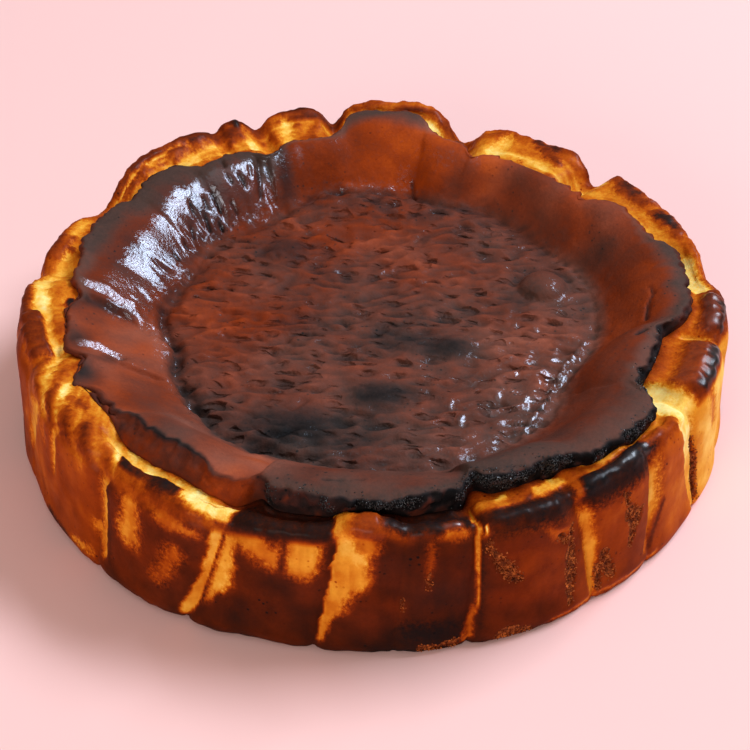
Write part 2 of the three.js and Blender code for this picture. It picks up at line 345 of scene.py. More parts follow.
# Tapered marks on the wall, each from one angle and height to another: half widths in mm at both ends, how
# soft its left and right sides are, and how far it is baked. Pale ones lie where a fold of paper kept the
# heat off, dark ones where the rim scorched; the dark one down the groove at 317 to 319 degrees is painted
# shade.
ARC = math.radians(1) * (BASE_RADIUS + WALL_TOP_RADIUS) / 2
PALE_MARKS = (
    (209, 49, 201, 18, 4.4, 3, 3.5, 3, 0.24), (203, 48, 198, 24, 1.6, 1.2, 2, 2, 0.4),
    (214.9, 47, 213.6, 25, 1.8, 0.5, 1.6, 1.2, 0.22), (210.3, 44, 211, 33, 1.8, 1, 2.2, 2.2, 0.34),
    (221.5, 50, 222, 38, 2.6, 1, 2.8, 2.8, 0.36), (227.3, 50, 226.2, 9, 2.2, 1.2, 2.2, 0.3, 0.23),
    (224.8, 18, 225.6, 14, 2, 1.4, 2.5, 1, 0.3), (233, 38, 232.2, 25, 3.6, 4.4, 3.4, 3.4, 0.27),
    (231.5, 46, 236, 45.5, 2.4, 2.6, 3, 3, 0.42), (236, 45, 240, 38.5, 2.8, 2.6, 3.2, 3.2, 0.35),
    (240, 38.5, 244.5, 37, 2.2, 1.4, 2.2, 2.2, 0.36), (240.6, 27, 237.8, 14, 3, 2.2, 3.6, 3.6, 0.42),
    (249, 46, 247.2, 22, 3, 5.2, 0.8, 2.4, 0.16), (247, 22, 244.6, 14, 4, 3, 0.8, 1.6, 0.24),
    (244.6, 14, 241.6, 4, 2.6, 1.3, 0.8, 1.0, 0.26), (250.8, 42, 255.5, 34, 5, 4.4, 3, 3, 0.29),
    (260, 42, 260, 33, 6.4, 5.8, 2.2, 2.6, 0.25), (267.9, 43, 266.8, 30, 4.8, 5.8, 0.3, 3.4, 0.17),
    (266.8, 30, 264.2, 17, 5.0, 2.6, 0.3, 3.2, 0.23), (264.2, 17, 262.5, 5, 2.4, 1.0, 0.3, 1.2, 0.27),
    (269, 51, 269.5, 43, 5, 4, 1.5, 2.5, 0.37), (278.4, 43, 278, 30, 1.4, 0.5, 1.6, 1.6, 0.5),
    (280.4, 45.5, 284, 44, 2.6, 2.8, 1.4, 1.2, 0.34), (285.1, 50, 285.3, 15, 0.6, 0.45, 0.35, 0.35, 0.24),
    (284.9, 15, 283.5, 4, 0.9, 2, 1, 1, 0.38), (286.2, 48.5, 287, 42.5, 0.7, 0.4, 0.3, 0.3, 0.0),
    (293, 46, 297.5, 34.5, 1, 1.4, 1.4, 1.4, 0.42), (297.5, 36, 299.6, 36, 1.4, 0.8, 1, 1, 0.38),
    (301, 50, 303.8, 24, 2.4, 2.1, 0.9, 1.6, 0.24), (303.8, 24, 304.5, 4, 1.8, 1, 0.8, 0.9, 0.27),
    (312.3, 43, 313.4, 36, 0.8, 0.6, 1.2, 1.2, 0.42), (316.4, 50, 317.3, 24, 2.5, 2.2, 0.4, 3.4, 0.19),
    (317.1, 24, 315.4, 8, 1.2, 0.8, 0.5, 1.2, 0.32), (326.2, 50, 328.3, 24, 5.6, 3.4, 0.6, 2.4, 0.1),
    (328.3, 24, 331, 3, 3.2, 2, 0.6, 1.6, 0.18), (324.4, 48, 326.8, 27, 1.6, 1, 0.4, 0.8, 0.0),
    (334, 47, 337.5, 28, 2, 1.5, 2.5, 2.5, 0.36), (297, 2.6, 318, 3.2, 0.8, 1.2, 1.5, 1.5, 0.32),
    (219, 5, 223, 6, 1.8, 1.6, 2, 2, 0.25),
)
DARK_MARKS = (
    (247.5, 45, 263, 46.5, 2.2, 2.6, 1.8, 1.8, 0.87),
    (229.3, 46.5, 232.5, 45.5, 1.3, 1.6, 1.1, 1.1, 0.82),
    (233.5, 46, 240.5, 43.5, 1.8, 2, 1.4, 1.4, 0.86), (271.5, 47, 283, 46, 2.5, 2.5, 3, 3, 0.88),
    (288, 45, 299, 44, 2.6, 3, 4, 4, 0.87), (303, 44, 315, 44, 4.2, 3.6, 4.5, 4.5, 0.9),
    (276, 9, 281, 7, 3.5, 3.5, 4, 4, 0.92), (332, 47.5, 343, 48, 1.4, 1.4, 1, 1, 0.92),
    # The mark from 319.4 degrees down to 8 mm is painted shade in a groove.
    (319.4, 23, 316.6, 8, 0.8, 0.8, 1, 1, 0.7), (228.6, 46, 227.8, 8, 0.4, 0.5, 0.5, 2, 0.76),
    (249, 42, 244, 6, 0.2, 0.4, 0.4, 2, 0.76), (257.8, 44, 257.2, 30, 0.8, 1, 1.5, 1.5, 0.72),
    (285.9, 42, 285.6, 8, 0.2, 0.3, 0.4, 1.6, 0.84), (211, 4, 216, 3, 2, 2, 1.5, 1.5, 0.82),
)
# Patches where the paper tore the browned surface off and left the crumb, as the first six values of a mark
TORN_MARKS = (
    (286.6, 39, 288, 32, 0.8, 1), (288, 33, 290.8, 24, 1.4, 2), (299.8, 37, 299.6, 28, 0.5, 0.6),
    (299.6, 27, 299.8, 17, 1.6, 2), (299.8, 17, 299.9, 8, 1.9, 0.8), (306.2, 18, 307.6, 10, 1.2, 1.8),
    (305.4, 14, 305.4, 6, 1, 0.6), (309.2, 40, 310.8, 32, 0.5, 0.6), (311, 30, 312.4, 26, 2, 2.4),
    (312, 26, 311.4, 16, 2, 0.7), (274.4, 21, 274.4, 16, 0.5, 0.6), (278.1, 30, 278, 26, 0.4, 0.4),
    (289, 4, 293, 2.5, 2, 1.2), (329.6, 32, 331, 20, 0.7, 1.2), (331, 20, 331.6, 5, 1.2, 1),
    (282, 3, 277, 2.5, 1.4, 1.2), (297.6, 35, 299, 32.5, 1, 0.7),
)
# The side away from the camera has marks of the same kinds, drawn at random along its creases
BACK_SEED = 3
BACK_FROM, BACK_TO = 340.0, 195.0
BACK_TORN_SHARE = 0.6
back_draw = np.random.default_rng(BACK_SEED)
back_pale = []
back_dark = []
back_torn = []
for start, lean, half in zip(petals["start"], petals["lean"], petals["half"]):
    if BACK_TO < start < BACK_FROM:
        continue
    wide, narrow, low, tone = back_draw.uniform((2, 0.8, 3, 0.16), (5, 1.8, 16, 0.28))
    soft = back_draw.permutation((0.4, 3))
    middle = start + 0.5 * lean + back_draw.uniform(-0.8, 0.8)
    back_pale.append((start, 48, middle, 24, wide, 1.1 * wide, *soft, tone))
    back_pale.append((middle, 24, start + 0.9 * lean, low, wide, narrow, *soft, tone + 0.05))
    for spot in range(int(half / 3)):
        at, height = back_draw.uniform((start + 3, 16), (start + 2 * half - 3, 44))
        wide, reach, tone = back_draw.uniform((2, 3, 0.26), (6, 12, 0.42))
        back_pale.append((at, height + reach / 2, at + 1, height - reach / 2, wide, 0.8 * wide, 3, 3, tone))
    scorch = back_draw.uniform(0.7, 0.92)
    back_dark.append((start + 3, 48, start + 1.4 * half, 46, 2.5, 3, 3.5, 3.5, scorch))
    back_dark.append((start + half, 6, start + 1.6 * half, 4, 3, 2, 4, 4, 0.82))
    at, height = back_draw.uniform((start + 2, 6), (start + half, 32))
    reach, lean_over, wide = back_draw.uniform((2, -2.5, 0.5), (8, 2.5, 2.2))
    if back_draw.uniform() < BACK_TORN_SHARE:
        end, low = at + lean_over, height - 0.6 * reach
        back_torn.append((at, height + reach, end, height - reach, wide, 0.6 * wide))
        back_torn.append((end, height + 1, at + 1.5 * lean_over, low, 0.7 * wide, 0.4))


def mark_cover(row, level, angle):
    """Cover of one mark, from 0 to 1, at each height up the wall or distance in from its crest."""
    start, high, end, low, wide, narrow, left, right = row[:8]
    x, y = swing(start, angle) * ARC, level - high
    run, fall = swing(start, end) * ARC, low - high
    share = np.clip((x * run + y * fall) / (run * run + fall * fall), 0, 1)
    away = np.hypot(x - share * run, y - share * fall)
    half = mix(wide, narrow, share)
    soft = np.where(run * y - fall * x > 0, right, left)
    wander = ragged * np.minimum(1.6, 0.6 * half)
    return 1 - ease(half - soft, half + soft, away + wander)


def fringe(cover, change):
    """Where a mark's edge is feathered: along its border, and more so where it stands out."""
    return 4 * cover * (1 - cover) * np.minimum(1, 3 * np.abs(change))


def laid_over(tone, fringed, row, level, angle, change):
    """Tone and fringe with one mark laid over them, its tone varied by a change, and the mark's cover."""
    cover = mark_cover(row, level, angle)
    fringed = np.maximum(fringed * (1 - cover), fringe(cover, tone - row[8]))
    return mix(tone, row[8] + change, cover), fringed, cover


WALL_STREAKS = ((0.6, (5, 5, 16), 14), (0.4, (1.6, 1.6, 9), 15))
WALL_MOTTLE = ((0.08, (20, 20, 26), 12), (0.06, 7, 13))
FOOT_SHADE = 0.07
FOOT_SHADE_TO = 22
TORN_SOFT = (0.5, 0.5)
heights = body[..., 2]
pale = np.zeros(body.shape[:2])
wall_fringe = np.zeros(body.shape[:2])
streaks = lumpy(body, WALL_STREAKS)
wall_tone = held(petals, angles, "panel", 2.5) + lumpy(body, WALL_MOTTLE) + 0.05 * on_foot + 0.03 * streaks
wall_tone = wall_tone + FOOT_SHADE * (1 - ease(2, FOOT_SHADE_TO, heights))
pale_change = 0.05 * ragged + 0.1 * streaks + 0.06 * noise(body, 6, 53)
dark_change = 0.03 * ragged
for row in (*PALE_MARKS, *back_pale):
    wall_tone, wall_fringe, cover = laid_over(wall_tone, wall_fringe, row, heights, angles, pale_change)
    pale = np.maximum(pale, cover * ease(0.5, 0.2, row[8]))
for row in (*DARK_MARKS, *back_dark):
    wall_tone, wall_fringe, cover = laid_over(wall_tone, wall_fringe, row, heights, angles, dark_change)
torn = np.zeros(body.shape[:2])
torn_heights = heights + 1.6 * noise(body, 3, 16)
for row in (*TORN_MARKS, *back_torn):
    torn = np.maximum(torn, mark_cover((*row, *TORN_SOFT), torn_heights, angles))
torn = torn * on_wall * ease(-0.9, -0.5, noise(body, 1.8, 17))

# Marks over the rim and the crack inside it, as those of the wall with distance in from the rim for height,
# then how far each is raised in mm and how glossy it is: brown lobes stand up, pale hollows lie between them
RING_MARKS = (
    (327, -9, 329, 11, 7, 6.4, 1.4, 2.2, 0.1, -1.2, 0),
    (325.6, -9, 327.2, 7, 2.4, 3.4, 1, 1.6, 0.0, -0.2, 0),
    (334.5, 6.5, 342.5, 6, 4, 4.2, 2.6, 2.8, 0.58, 1.8, 0.6),
    (333.5, 0.5, 337, -0.5, 1.4, 1.1, 1.2, 1.2, 0.88, 0.2, 0.5),
    (337, -0.5, 343.5, 0.5, 1.2, 1.8, 1.2, 1.2, 0.93, 0.3, 0.9),
    (345.8, -4, 347.2, 10, 1.2, 1.6, 1, 1, 0.2, -1.2, 0.1),
    (350, 4, 356, 4, 3.2, 3, 2.2, 2.2, 0.63, 1.6, 0.9),
    (349.5, -0.5, 355, -0.5, 1.2, 1.2, 1, 1, 0.85, 0.4, 0.6),
    (358.6, 0, 358.8, 6, 1.2, 0.6, 1, 1, 0.6, 0.4, 0.2), (0.8, 5, 9, 4.5, 3.6, 3.2, 2, 2, 0.07, -0.9, 0),
    (10, 0.5, 14, 0.5, 1.8, 1.8, 1.6, 1.6, 0.46, 0.6, 0.1),
    (15.8, 0, 16.2, 6, 0.8, 1, 0.8, 0.8, 0.32, -0.6, 0),
    (17, 2, 36, 4, 2.8, 3.4, 2.4, 2.4, 0.56, 0.7, 0.15),
    (19, 2, 22.5, 3, 1.6, 2, 1.5, 1.5, 0.86, 0.4, 0.4),
    (31, 2.5, 35, 2.5, 1.4, 1.8, 1.6, 1.6, 0.8, 0.4, 0.3),
    (25.5, 0, 27.5, 8, 1, 1.6, 1.4, 1.4, 0.36, -0.8, 0),
    (17, 10.5, 31, 11, 2.6, 2.8, 1.5, 1.5, 0.27, 0, 0), (36.5, 7, 39, 11, 2.4, 2.4, 2, 2, 0.32, 0, 0),
    (40.5, 0, 42, 12, 1.4, 2.8, 1.4, 1.4, 0.16, -0.6, 0), (45, 1, 48, 3, 2, 2, 1.8, 1.8, 0.46, 0.5, 0.1),
    (49, 8, 55, 2.5, 1.6, 1.8, 1.8, 1.8, 0.6, 0.8, 0.1), (45, 0, 64, 0, 1.2, 1.2, 1, 1, 0.52, 0.3, 0.1),
    (51.5, 1.5, 56.5, 1, 1.4, 1.4, 1.2, 1.2, 0.82, 0.4, 0.3),
    (61.5, 6, 63.5, 12, 3.8, 3.2, 2.2, 2.2, 0.13, -1, 0),
    (67.5, 1, 68.5, 8, 1.6, 1.6, 1.4, 1.4, 0.46, 0.4, 0.1), (40, 12.5, 60, 13, 2, 2, 1.5, 1.5, 0.2, 0, 0),
    (74.5, 12, 77.5, 7, 2.6, 2.8, 1.6, 1.6, 0.06, -1, 0), (76, 2, 90, 1, 3, 3, 1.8, 1.8, 0.52, 0.6, 0.1),
    (94.5, 3, 95.5, 10, 1.6, 2, 1.4, 1.4, 0.24, -0.5, 0),
    (100, 1, 107, 1, 2.6, 2.4, 2, 2, 0.66, 0.4, 0.1), (101, 6, 103, 13, 1.6, 1.6, 1.4, 1.4, 0.5, 0.5, 0),
    (107.5, 5, 108.5, 14, 2.6, 3, 1.8, 1.8, 0.16, -0.8, 0),
    (111.5, 3, 110.8, 12, 1, 1, 1, 1, 0.5, 0.4, 0), (116, 4, 116, 14, 1.8, 2.4, 1.4, 1.4, 0.18, -0.6, 0),
    (117, -1, 117.6, 3, 0.9, 0.8, 0.6, 0.6, 0.86, 0.3, 0.2),
    (119, 2, 120.5, 10, 1.2, 1.2, 1, 1, 0.52, 0.5, 0),
    (123, 1, 146, 1.5, 2.8, 2.8, 2.4, 2.4, 0.62, 0.5, 0.1), (126, 6, 128, 9, 1, 0.8, 1, 1, 0.5, 0.4, 0),
    (124, 10, 135, 10, 3.4, 3, 2.4, 2.4, 0.15, -0.8, 0), (137, 7, 146, 7, 2.6, 2, 2.4, 2.4, 0.3, -0.3, 0),
    (150, 2.6, 128, 3.2, 0.5, 0.6, 0.5, 0.5, 0.2, -0.4, 0),
    (147, 5.4, 124, 6, 0.7, 0.8, 0.6, 0.6, 0.54, 0.5, 0),
    (121, 3.6, 104, 4.4, 0.5, 0.6, 0.5, 0.5, 0.58, 0.5, 0),
    (119, 8, 105, 8.6, 0.4, 0.5, 0.5, 0.5, 0.5, 0.4, 0),
    (92, 3.4, 77, 4.4, 0.5, 0.6, 0.5, 0.5, 0.3, -0.3, 0), (131, 4, 133, 8, 1, 0.8, 1, 1, 0.52, 0.5, 0),
    (139, 4, 141, 8, 1, 0.8, 1, 1, 0.52, 0.5, 0), (152.3, 4, 154, 8, 2.2, 1.4, 1.4, 1.4, 0.56, 0.8, 0.1),
    (151, 5.5, 156, 8.5, 3, 2.6, 2, 2, 0.46, 0.3, 0),
    (156.5, 3, 162, 4.5, 2, 2.2, 1.6, 1.6, 0.26, -0.5, 0),
    (156, 8.5, 161, 9, 2, 1.6, 1.2, 1.2, 0.44, 0.2, 0),
    (162.5, 1.5, 168, 2, 2, 1.8, 1.5, 1.5, 0.62, 0.6, 0.1),
    (163.5, 5.5, 178, 6, 1.6, 2.8, 1.2, 1.5, 0.2, -0.6, 0),
    (162, 4.6, 168.5, 3.6, 1.4, 1.8, 1.4, 1.4, 0.52, 0.4, 0),
    (165, 7.2, 166, 8, 0.8, 0.8, 0.6, 0.6, 0.56, 0.2, 0),
    (168, 11, 183, 11.5, 2, 2.4, 1.6, 1.6, 0.33, 0.3, 0),
    (173.5, 11, 174.2, 11.6, 0.5, 0.5, 0.5, 0.5, 0.7, 0.1, 0),
    (183.6, 16, 186.4, 17.2, 1.6, 2, 0.8, 0.8, 0.94, 0.4, 0.3),
    (175.2, 12.6, 176, 13.2, 0.7, 0.7, 0.6, 0.6, 0.66, 0.1, 0),
    (178.5, 0.5, 188, 1, 1.5, 1.8, 1.2, 1.2, 0.62, 0.5, 0.1),
    (176.5, 4, 186.5, 7, 3, 2.6, 1.6, 1.6, 0.12, -1.2, 0),
    (182.5, 6, 185, 7, 1.2, 1.2, 1.5, 1.5, 0.03, -0.3, 0),
    (189, 4.2, 197, 4.4, 3.4, 3.6, 1.5, 1.5, 0.63, 1.4, 0.1),
    (187.5, 9.2, 197, 9.4, 1.4, 1.4, 1, 1, 0.18, -0.8, 0),
    (188.5, 12.4, 198.5, 12.4, 1.6, 1.6, 1, 1, 0.4, 0.4, 0),
    (196.7, 11, 205, 4, 1.4, 2.2, 1, 1, 0.17, -1, 0),
    (200, 5, 205, -2, 1.6, 1.6, 1.4, 1.4, 0.5, 0.7, 0.1),
    (202.5, 9, 205.5, 10, 1, 1.2, 0.8, 0.8, 0.42, 0.5, 0),
    (205.5, 5, 212, -5, 1.8, 2, 1.2, 1.2, 0.22, -0.9, 0), (208, 5, 213.5, -4, 1, 1.4, 1, 1, 0.55, 0.6, 0),
    (208.5, 8.4, 211, 5.5, 1.5, 1.2, 0.9, 0.9, 0.12, -0.7, 0),
    (212, 7, 215.5, 10, 2, 2, 1.4, 1.4, 0.48, 0.7, 0.1),
    (210, 13, 223, 12, 2.4, 2, 1.6, 1.6, 0.31, 0.2, 0),
    (212, 3, 216.5, -6, 1.2, 1.6, 1, 1, 0.34, -0.6, 0), (214, 5, 219, -5, 1.3, 1.6, 1, 1, 0.56, 0.6, 0),
    (217, 5, 220.5, -5, 1, 1.4, 1, 1, 0.33, -0.6, 0), (219.5, 5, 223, -4, 1.3, 1.5, 1, 1, 0.57, 0.6, 0),
    (222, 7, 225, -3, 1.2, 1.4, 1, 1, 0.35, -0.5, 0),
    (224.6, 11, 227.2, 4, 1.6, 1.4, 1, 1, 0.14, -0.8, 0),
    (227.5, 9.5, 243.5, 7.5, 2.4, 2.6, 1.2, 1.2, 0.14, -0.5, 0),
    (228.3, 5, 231, 4.5, 1.2, 1.2, 0.8, 0.8, 0.88, 0.3, 0.2),
    (232.5, 4.5, 236, 5, 1.6, 2, 1.4, 1.4, 0.8, 0.2, 0.1),
    (236, 5.4, 239.5, 5, 2.2, 2.2, 1.6, 1.6, 0.86, 0.3, 0.1),
    (241.5, 5.5, 248.5, 2.5, 3, 2.8, 1, 1, 0.07, -0.4, 0),
    (251, 0.5, 263, 1, 4.4, 4.6, 1.8, 1.8, 0.86, 0.1, 0.06),
    (254, 6, 264, 6, 2, 2, 1.4, 1.4, 0.82, 0, 0.2), (273.5, 3, 284, 3, 3.6, 3.4, 2.2, 2.2, 0.9, 0, 0.2),
    (281, 0.5, 282.5, 1, 1.6, 1.6, 1, 1, 0.7, 0.5, 1),
    (266, 5, 266.6, -7, 3.2, 3.4, 1, 2.4, 0.28, 1.1, 0.05),
    (269.4, 5, 270.2, -6, 3.4, 3, 2.4, 1.2, 0.5, 1.1, 0.15),
    (279.5, -4, 283, -2, 2.4, 2, 1.4, 1.4, 0.34, 0, 0),
    (285.2, -10, 285.3, 8, 0.7, 0.8, 0.4, 0.4, 0.22, -0.6, 0),
    (286.2, -6, 286.6, -1, 0.8, 0.6, 0.3, 0.3, 0.02, 0.4, 0),
    (289, 1, 299, 1, 2.4, 2.8, 2.6, 2.6, 0.88, 0, 0.16),
    (287, 7.5, 291, 6.5, 2.4, 2, 1, 1, 0.34, 0.6, 0.1), (292, 7, 296, 8, 1.8, 2, 1, 1, 0.44, 0.3, 0.1),
    (289.5, 8.4, 291, 9, 0.8, 1, 0.6, 0.6, 0.2, 0.8, 0.1),
    (294, 6, 295, 7, 0.9, 0.8, 0.6, 0.6, 0.62, 0.5, 0.3),
    (298.6, 9, 299.6, 8, 0.8, 0.7, 0.6, 0.6, 0.5, 0.7, 0.1),
    (296.5, 7, 300.5, 7, 2.8, 2.2, 1, 1, 0.2, 0.8, 0.1),
    (303.5, 0.5, 316.5, 1, 2.8, 3, 2.8, 2.8, 0.92, 0.1, 0.2),
    (310.5, 1, 316, 1.5, 1.6, 2.4, 1.6, 1.6, 0.9, 0.4, 0.8),
    (303.5, 7, 308, 8, 2.2, 1.6, 1, 1, 0.46, 0.2, 0.1),
    (305.5, 9, 307, 9.5, 0.8, 0.9, 0.6, 0.6, 0.26, 0.8, 0.1),
    (309.5, 9, 311, 8.4, 0.8, 0.9, 0.6, 0.6, 0.5, 0.7, 0.2),
    (313, 6, 314.4, 7.4, 0.9, 0.8, 0.6, 0.6, 0.56, 0.6, 0.2),
    (308, 7.5, 317.5, 7, 1.6, 2.4, 1, 1, 0.27, 0.6, 0.1),
    (301.5, -4, 302.5, 8, 1.6, 1.6, 1, 1, 0.44, 0, 0),
    (317.5, 3, 320.5, 4, 2.6, 2, 1.6, 1.6, 0.48, 0.6, 0.3),
)
# Places round the rim as angle and half width: streaks run over it on the left and slant there, lumps are
# low between them, and the custard lies in layers at the back
STREAKED_AT = (216, 30)
SLANTED_AT = (214, 16)
CALM_AT = (215, 13)
LAYERED_AT = (95, 75)
STREAK_SLANT = 0.65
RIM_GRAIN = ((0.6, (3.4, 3.4, 14), 44), (0.4, (1.4, 1.4, 8), 45))
slanted = angles + STREAK_SLANT * bell(angles, *SLANTED_AT) * inward
around_rim = turned(np.stack([np.full(body.shape[:2], CREST_RADIUS), inward], -1), slanted)
grain_in = lumpy(around_rim, RIM_GRAIN)
lobes = noise(body, 9, 8)
lumps = noise(body, 3.2, 9)
tip_tone = held(petals, angles, "tip")[None] + 0.1 * lobes
# Inside the crack the custard is made darker where it runs in under the skin: painted shade.
inner_tone = held(petals, angles, "crack")[None] + 0.1 * lobes + 0.1 * under_skin
ring_tone = mix(tip_tone, inner_tone, ease(1.5, 7, inward + 2.5 * ragged)) + 0.05 * lumps
ring_lift = np.zeros(body.shape[:2])
ring_fringe = np.zeros(body.shape[:2])
gloss = np.zeros(body.shape[:2])
rim_level = inward + 0.9 * lumps
rim_angles = angles + 0.35 * noise(body, 4, 47)
ring_change = 0.04 * lobes + 0.04 * lumps
for row in RING_MARKS:
    laid = laid_over(ring_tone, ring_fringe, row, rim_level, rim_angles, ring_change)
    ring_tone, ring_fringe, cover = laid
    ring_lift = mix(ring_lift, row[9], cover)
    gloss = mix(gloss, row[10], cover)
streaked = 0.14 + bell(angles, *STREAKED_AT)[None]
calm = 1 - 0.7 * bell(angles, *CALM_AT)[None]
layers = bell(angles, *LAYERED_AT)[None] * noise(around_rim, (15, 15, 2.1), 61)
ring_tone = ring_tone + (0.2 * streaked * grain_in + 0.2 * layers) * ease(0.95, 0.6, ring_tone)
# The tone mark here is how far the custard is baked, with painted shade under the skin and in one groove.
baked = mix(ring_tone, wall_tone, on_wall)
baked = mix(baked, 0.7 + 0.2 * noise(body, 1.8, 18), torn)
feathered = np.maximum(mix(ring_fringe, wall_fringe, on_wall), 0.25 * on_ring)

# Relief in mm along the normal: sharp crease cores, pale folds set back, torn crumb, lumps in the crack
CREASE_CORE = 0.8
CORE_WIDTH = 0.4
PALE_SINK = 0.8
WALL_LUMPS = ((0.5, (22, 22, 30), 3), (0.12, 5, 4))
crease_core = np.zeros(body.shape[:2])
for start, lean, deep in zip(petals["start"], petals["lean"], petals["crease"]):
    side = swing(start + lean * (1 - heights / crest), angles[None]) + 0.4 * ragged
    crease_core = np.maximum(crease_core, hump(side, 0, CORE_WIDTH) * deep / 2)
ring_relief = calm * (ring_lift + 0.6 * lobes + 0.35 * lumps) + 0.5 * streaked * grain_in + 0.3 * layers
relief = (
    on_wall * lumpy(body, WALL_LUMPS)
    - on_wall * (CREASE_CORE * crease_core + PALE_SINK * pale)
    - torn * (0.7 + 0.5 * noise(body, 1.7, 5))
    + on_ring * (ring_relief + 0.2 * noise(body, 1.8, 7))
    + on_foot * 0.35 * noise(body, 4, 10)
)
relief[body_place < 0.5] = 0
body = body + outward(body) * relief[..., None]
body[..., 2] = np.maximum(body[..., 2], 0)
body[0, :, 2] = 0
gloss = np.maximum(gloss * on_ring, 0.02 + 0.05 * noise(body, 15, 19)) * (1 - torn)

# Centred as the solid is: the middle of the wall's outline stands over the origin
outline = body.reshape(-1, 3)
cake_middle = np.append((outline.min(0) + outline.max(0))[:2] / 2, 0)


def level_ring(radius, height):
    """A ring of points at one height."""
    return turned(np.stack([radius, np.full(STEPS, height)], -1), angles)


base_middle = cake_middle[None]
core_rings = [level_ring(face_foot - CORE_INSET, CORE_HEIGHT), base_middle + (0, 0, CORE_HEIGHT)]
body_rings = [ring - cake_middle for ring in (base_middle, *body, *core_rings)]
body_marks = {"baked": baked, "torn": torn, "gloss": gloss, "feathered": feathered}
custard_body = closed_piece("custard_body", body_rings, {
    mark: [np.zeros(1), *values, np.zeros(STEPS), np.zeros(1)] for mark, values in body_marks.items()
})


class Wire:
    """A socket of a finish. Arithmetic on wires and numbers adds Math nodes to the finish."""

    def __init__(self, tree, socket=None):
        self.tree = tree
        self.socket = socket

    def node(self, kind, settings=None, sockets=None, output=0):
        """Adds a node, sets its settings, fills its sockets with wires or values, and gives one output."""
        made = self.tree.nodes.new(kind)
        for key, value in (settings or {}).items():
            if key == "stops":
                points = made.color_ramp.elements
                while len(points) < len(value):
                    points.new(1.0)
                for point, (place, colour) in zip(points, value):
                    point.position = place
                    point.color = colour
            else:
                setattr(made, key, value)
        for key, value in (sockets or {}).items():
            if isinstance(value, Wire):
                self.tree.links.new(value.socket, made.inputs[key])
            else:
                made.inputs[key].default_value = value
        if made.outputs:
            return Wire(self.tree, made.outputs[output])

    def math(self, operation, *values, clamp=False):
        """The result of a Math node."""
        settings = {"operation": operation, "use_clamp": clamp}
        return self.node("ShaderNodeMath", settings, dict(enumerate(values)))

    def clamped(self):
        """The same value, held from 0 to 1."""
        return self.math("ADD", self, 0.0, clamp=True)

    def __add__(self, other):
        return self.math("ADD", self, other)

    def __sub__(self, other):
        return self.math("SUBTRACT", self, other)

    def __rsub__(self, other):
        return self.math("SUBTRACT", other, self)

    def __mul__(self, other):
        return self.math("MULTIPLY", self, other)

    __radd__ = __add__
    __rmul__ = __mul__


def new_finish(name):
    """A material with no nodes yet, and the wire that its nodes start from."""
    material = bpy.data.materials.new(name)
    material.use_nodes = True
    material.node_tree.nodes.clear()
    return material, Wire(material.node_tree)


def linear(red, green, blue):
    """A colour as seen, 0 to 255, in the linear light that shaders use."""
    seen = [value / 255 for value in (red, green, blue)]
    return (*[v / 12.92 if v <= 0.04045 else ((v + 0.055) / 1.055) ** 2.4 for v in seen], 1.0)


def coloured(start, rows, share):
    """The colour at a share of the way through rows of place and colour as seen."""
    stops = [(place, linear(*colour)) for place, colour in rows]
    return start.node("ShaderNodeValToRGB", {"stops": stops}, {0: share})


def risen(start, value, low, high, kind="LINEAR"):
    """0 at low and 1 at high, straight between them or with a soft rise."""
    return start.node("ShaderNodeMapRange", {"interpolation_type": kind}, {0: value, 1: low, 2: high})


def bumped(start, strength, distance, height, **under):
    """The normal of a bumpy surface, over another normal if one is given."""
    sockets = {"Strength": strength, "Distance": distance, "Height": height, **under}
    return start.node("ShaderNodeBump", sockets=sockets, output="Normal")


def mark_wire(start, name):
    """The wire of one of the mesh's marks."""
    return start.node("ShaderNodeAttribute", {"attribute_name": name}, output="Fac")


def noise_wire(start, place, scale, detail=4.0, roughness=0.6):
    """Unevenness from 0 to 1, finer with a larger scale."""
    sockets = {"Vector": place, "Scale": scale, "Detail": detail, "Roughness": roughness}
    return start.node("ShaderNodeTexNoise", sockets=sockets)


def pore_wire(start, place, scale, rim, patches, sparse, dense):
    """Fine pores, 1 in their middles, in patches of the surface."""
    away = start.node("ShaderNodeTexVoronoi", sockets={"Vector": place, "Scale": scale}, output="Distance")
    return risen(start, away, rim, 0.1) * risen(start, noise_wire(start, place, patches, 2.0), sparse, dense)


# Custard from pale cream through gold and brown to char
BAKED_COLOURS = (
    (0.0, (255, 228, 146)), (0.1, (252, 200, 94)), (0.2, (234, 158, 48)), (0.3, (210, 117, 25)),
    (0.4, (182, 82, 14)), (0.5, (148, 57, 10)), (0.62, (110, 38, 10)), (0.74, (78, 28, 11)),
    (0.84, (50, 22, 14)), (0.92, (31, 20, 19)), (1.0, (16, 15, 17)),
)
custard_finish, start = new_finish("baked_custard")
place = start.node("ShaderNodeTexCoord", output="Object")
torn_mark = mark_wire(start, "torn")
gloss_mark = mark_wire(start, "gloss")
mottle = noise_wire(start, place, 230.0, 5.0)
speckle = noise_wire(start, place, 1100.0, 3.0)
pore = pore_wire(start, place, 420.0, 0.22, 95.0, 0.54, 0.68)
flake = noise_wire(start, place, 820.0, 5.0, 0.7)
blotch = noise_wire(start, place, 75.0, 3.0, 0.6)
tone = mark_wire(start, "baked") + (mottle - 0.5) * 0.14 + (speckle - 0.5) * (0.06 + torn_mark * 0.3)
tone = tone + pore * 0.2 + mark_wire(start, "feathered") * (flake - 0.5) * 1.1 + (blotch - 0.5) * 0.1
colour = coloured(start, BAKED_COLOURS, tone.clamped())
roughness = (0.55 - gloss_mark * 0.3 + (mottle - 0.5) * 0.2 + torn_mark * 0.25).clamped()
height = mottle * 0.35 + speckle * (0.2 + torn_mark * 0.9) - pore * 0.6
bump = bumped(start, 0.35, 0.0009, height)
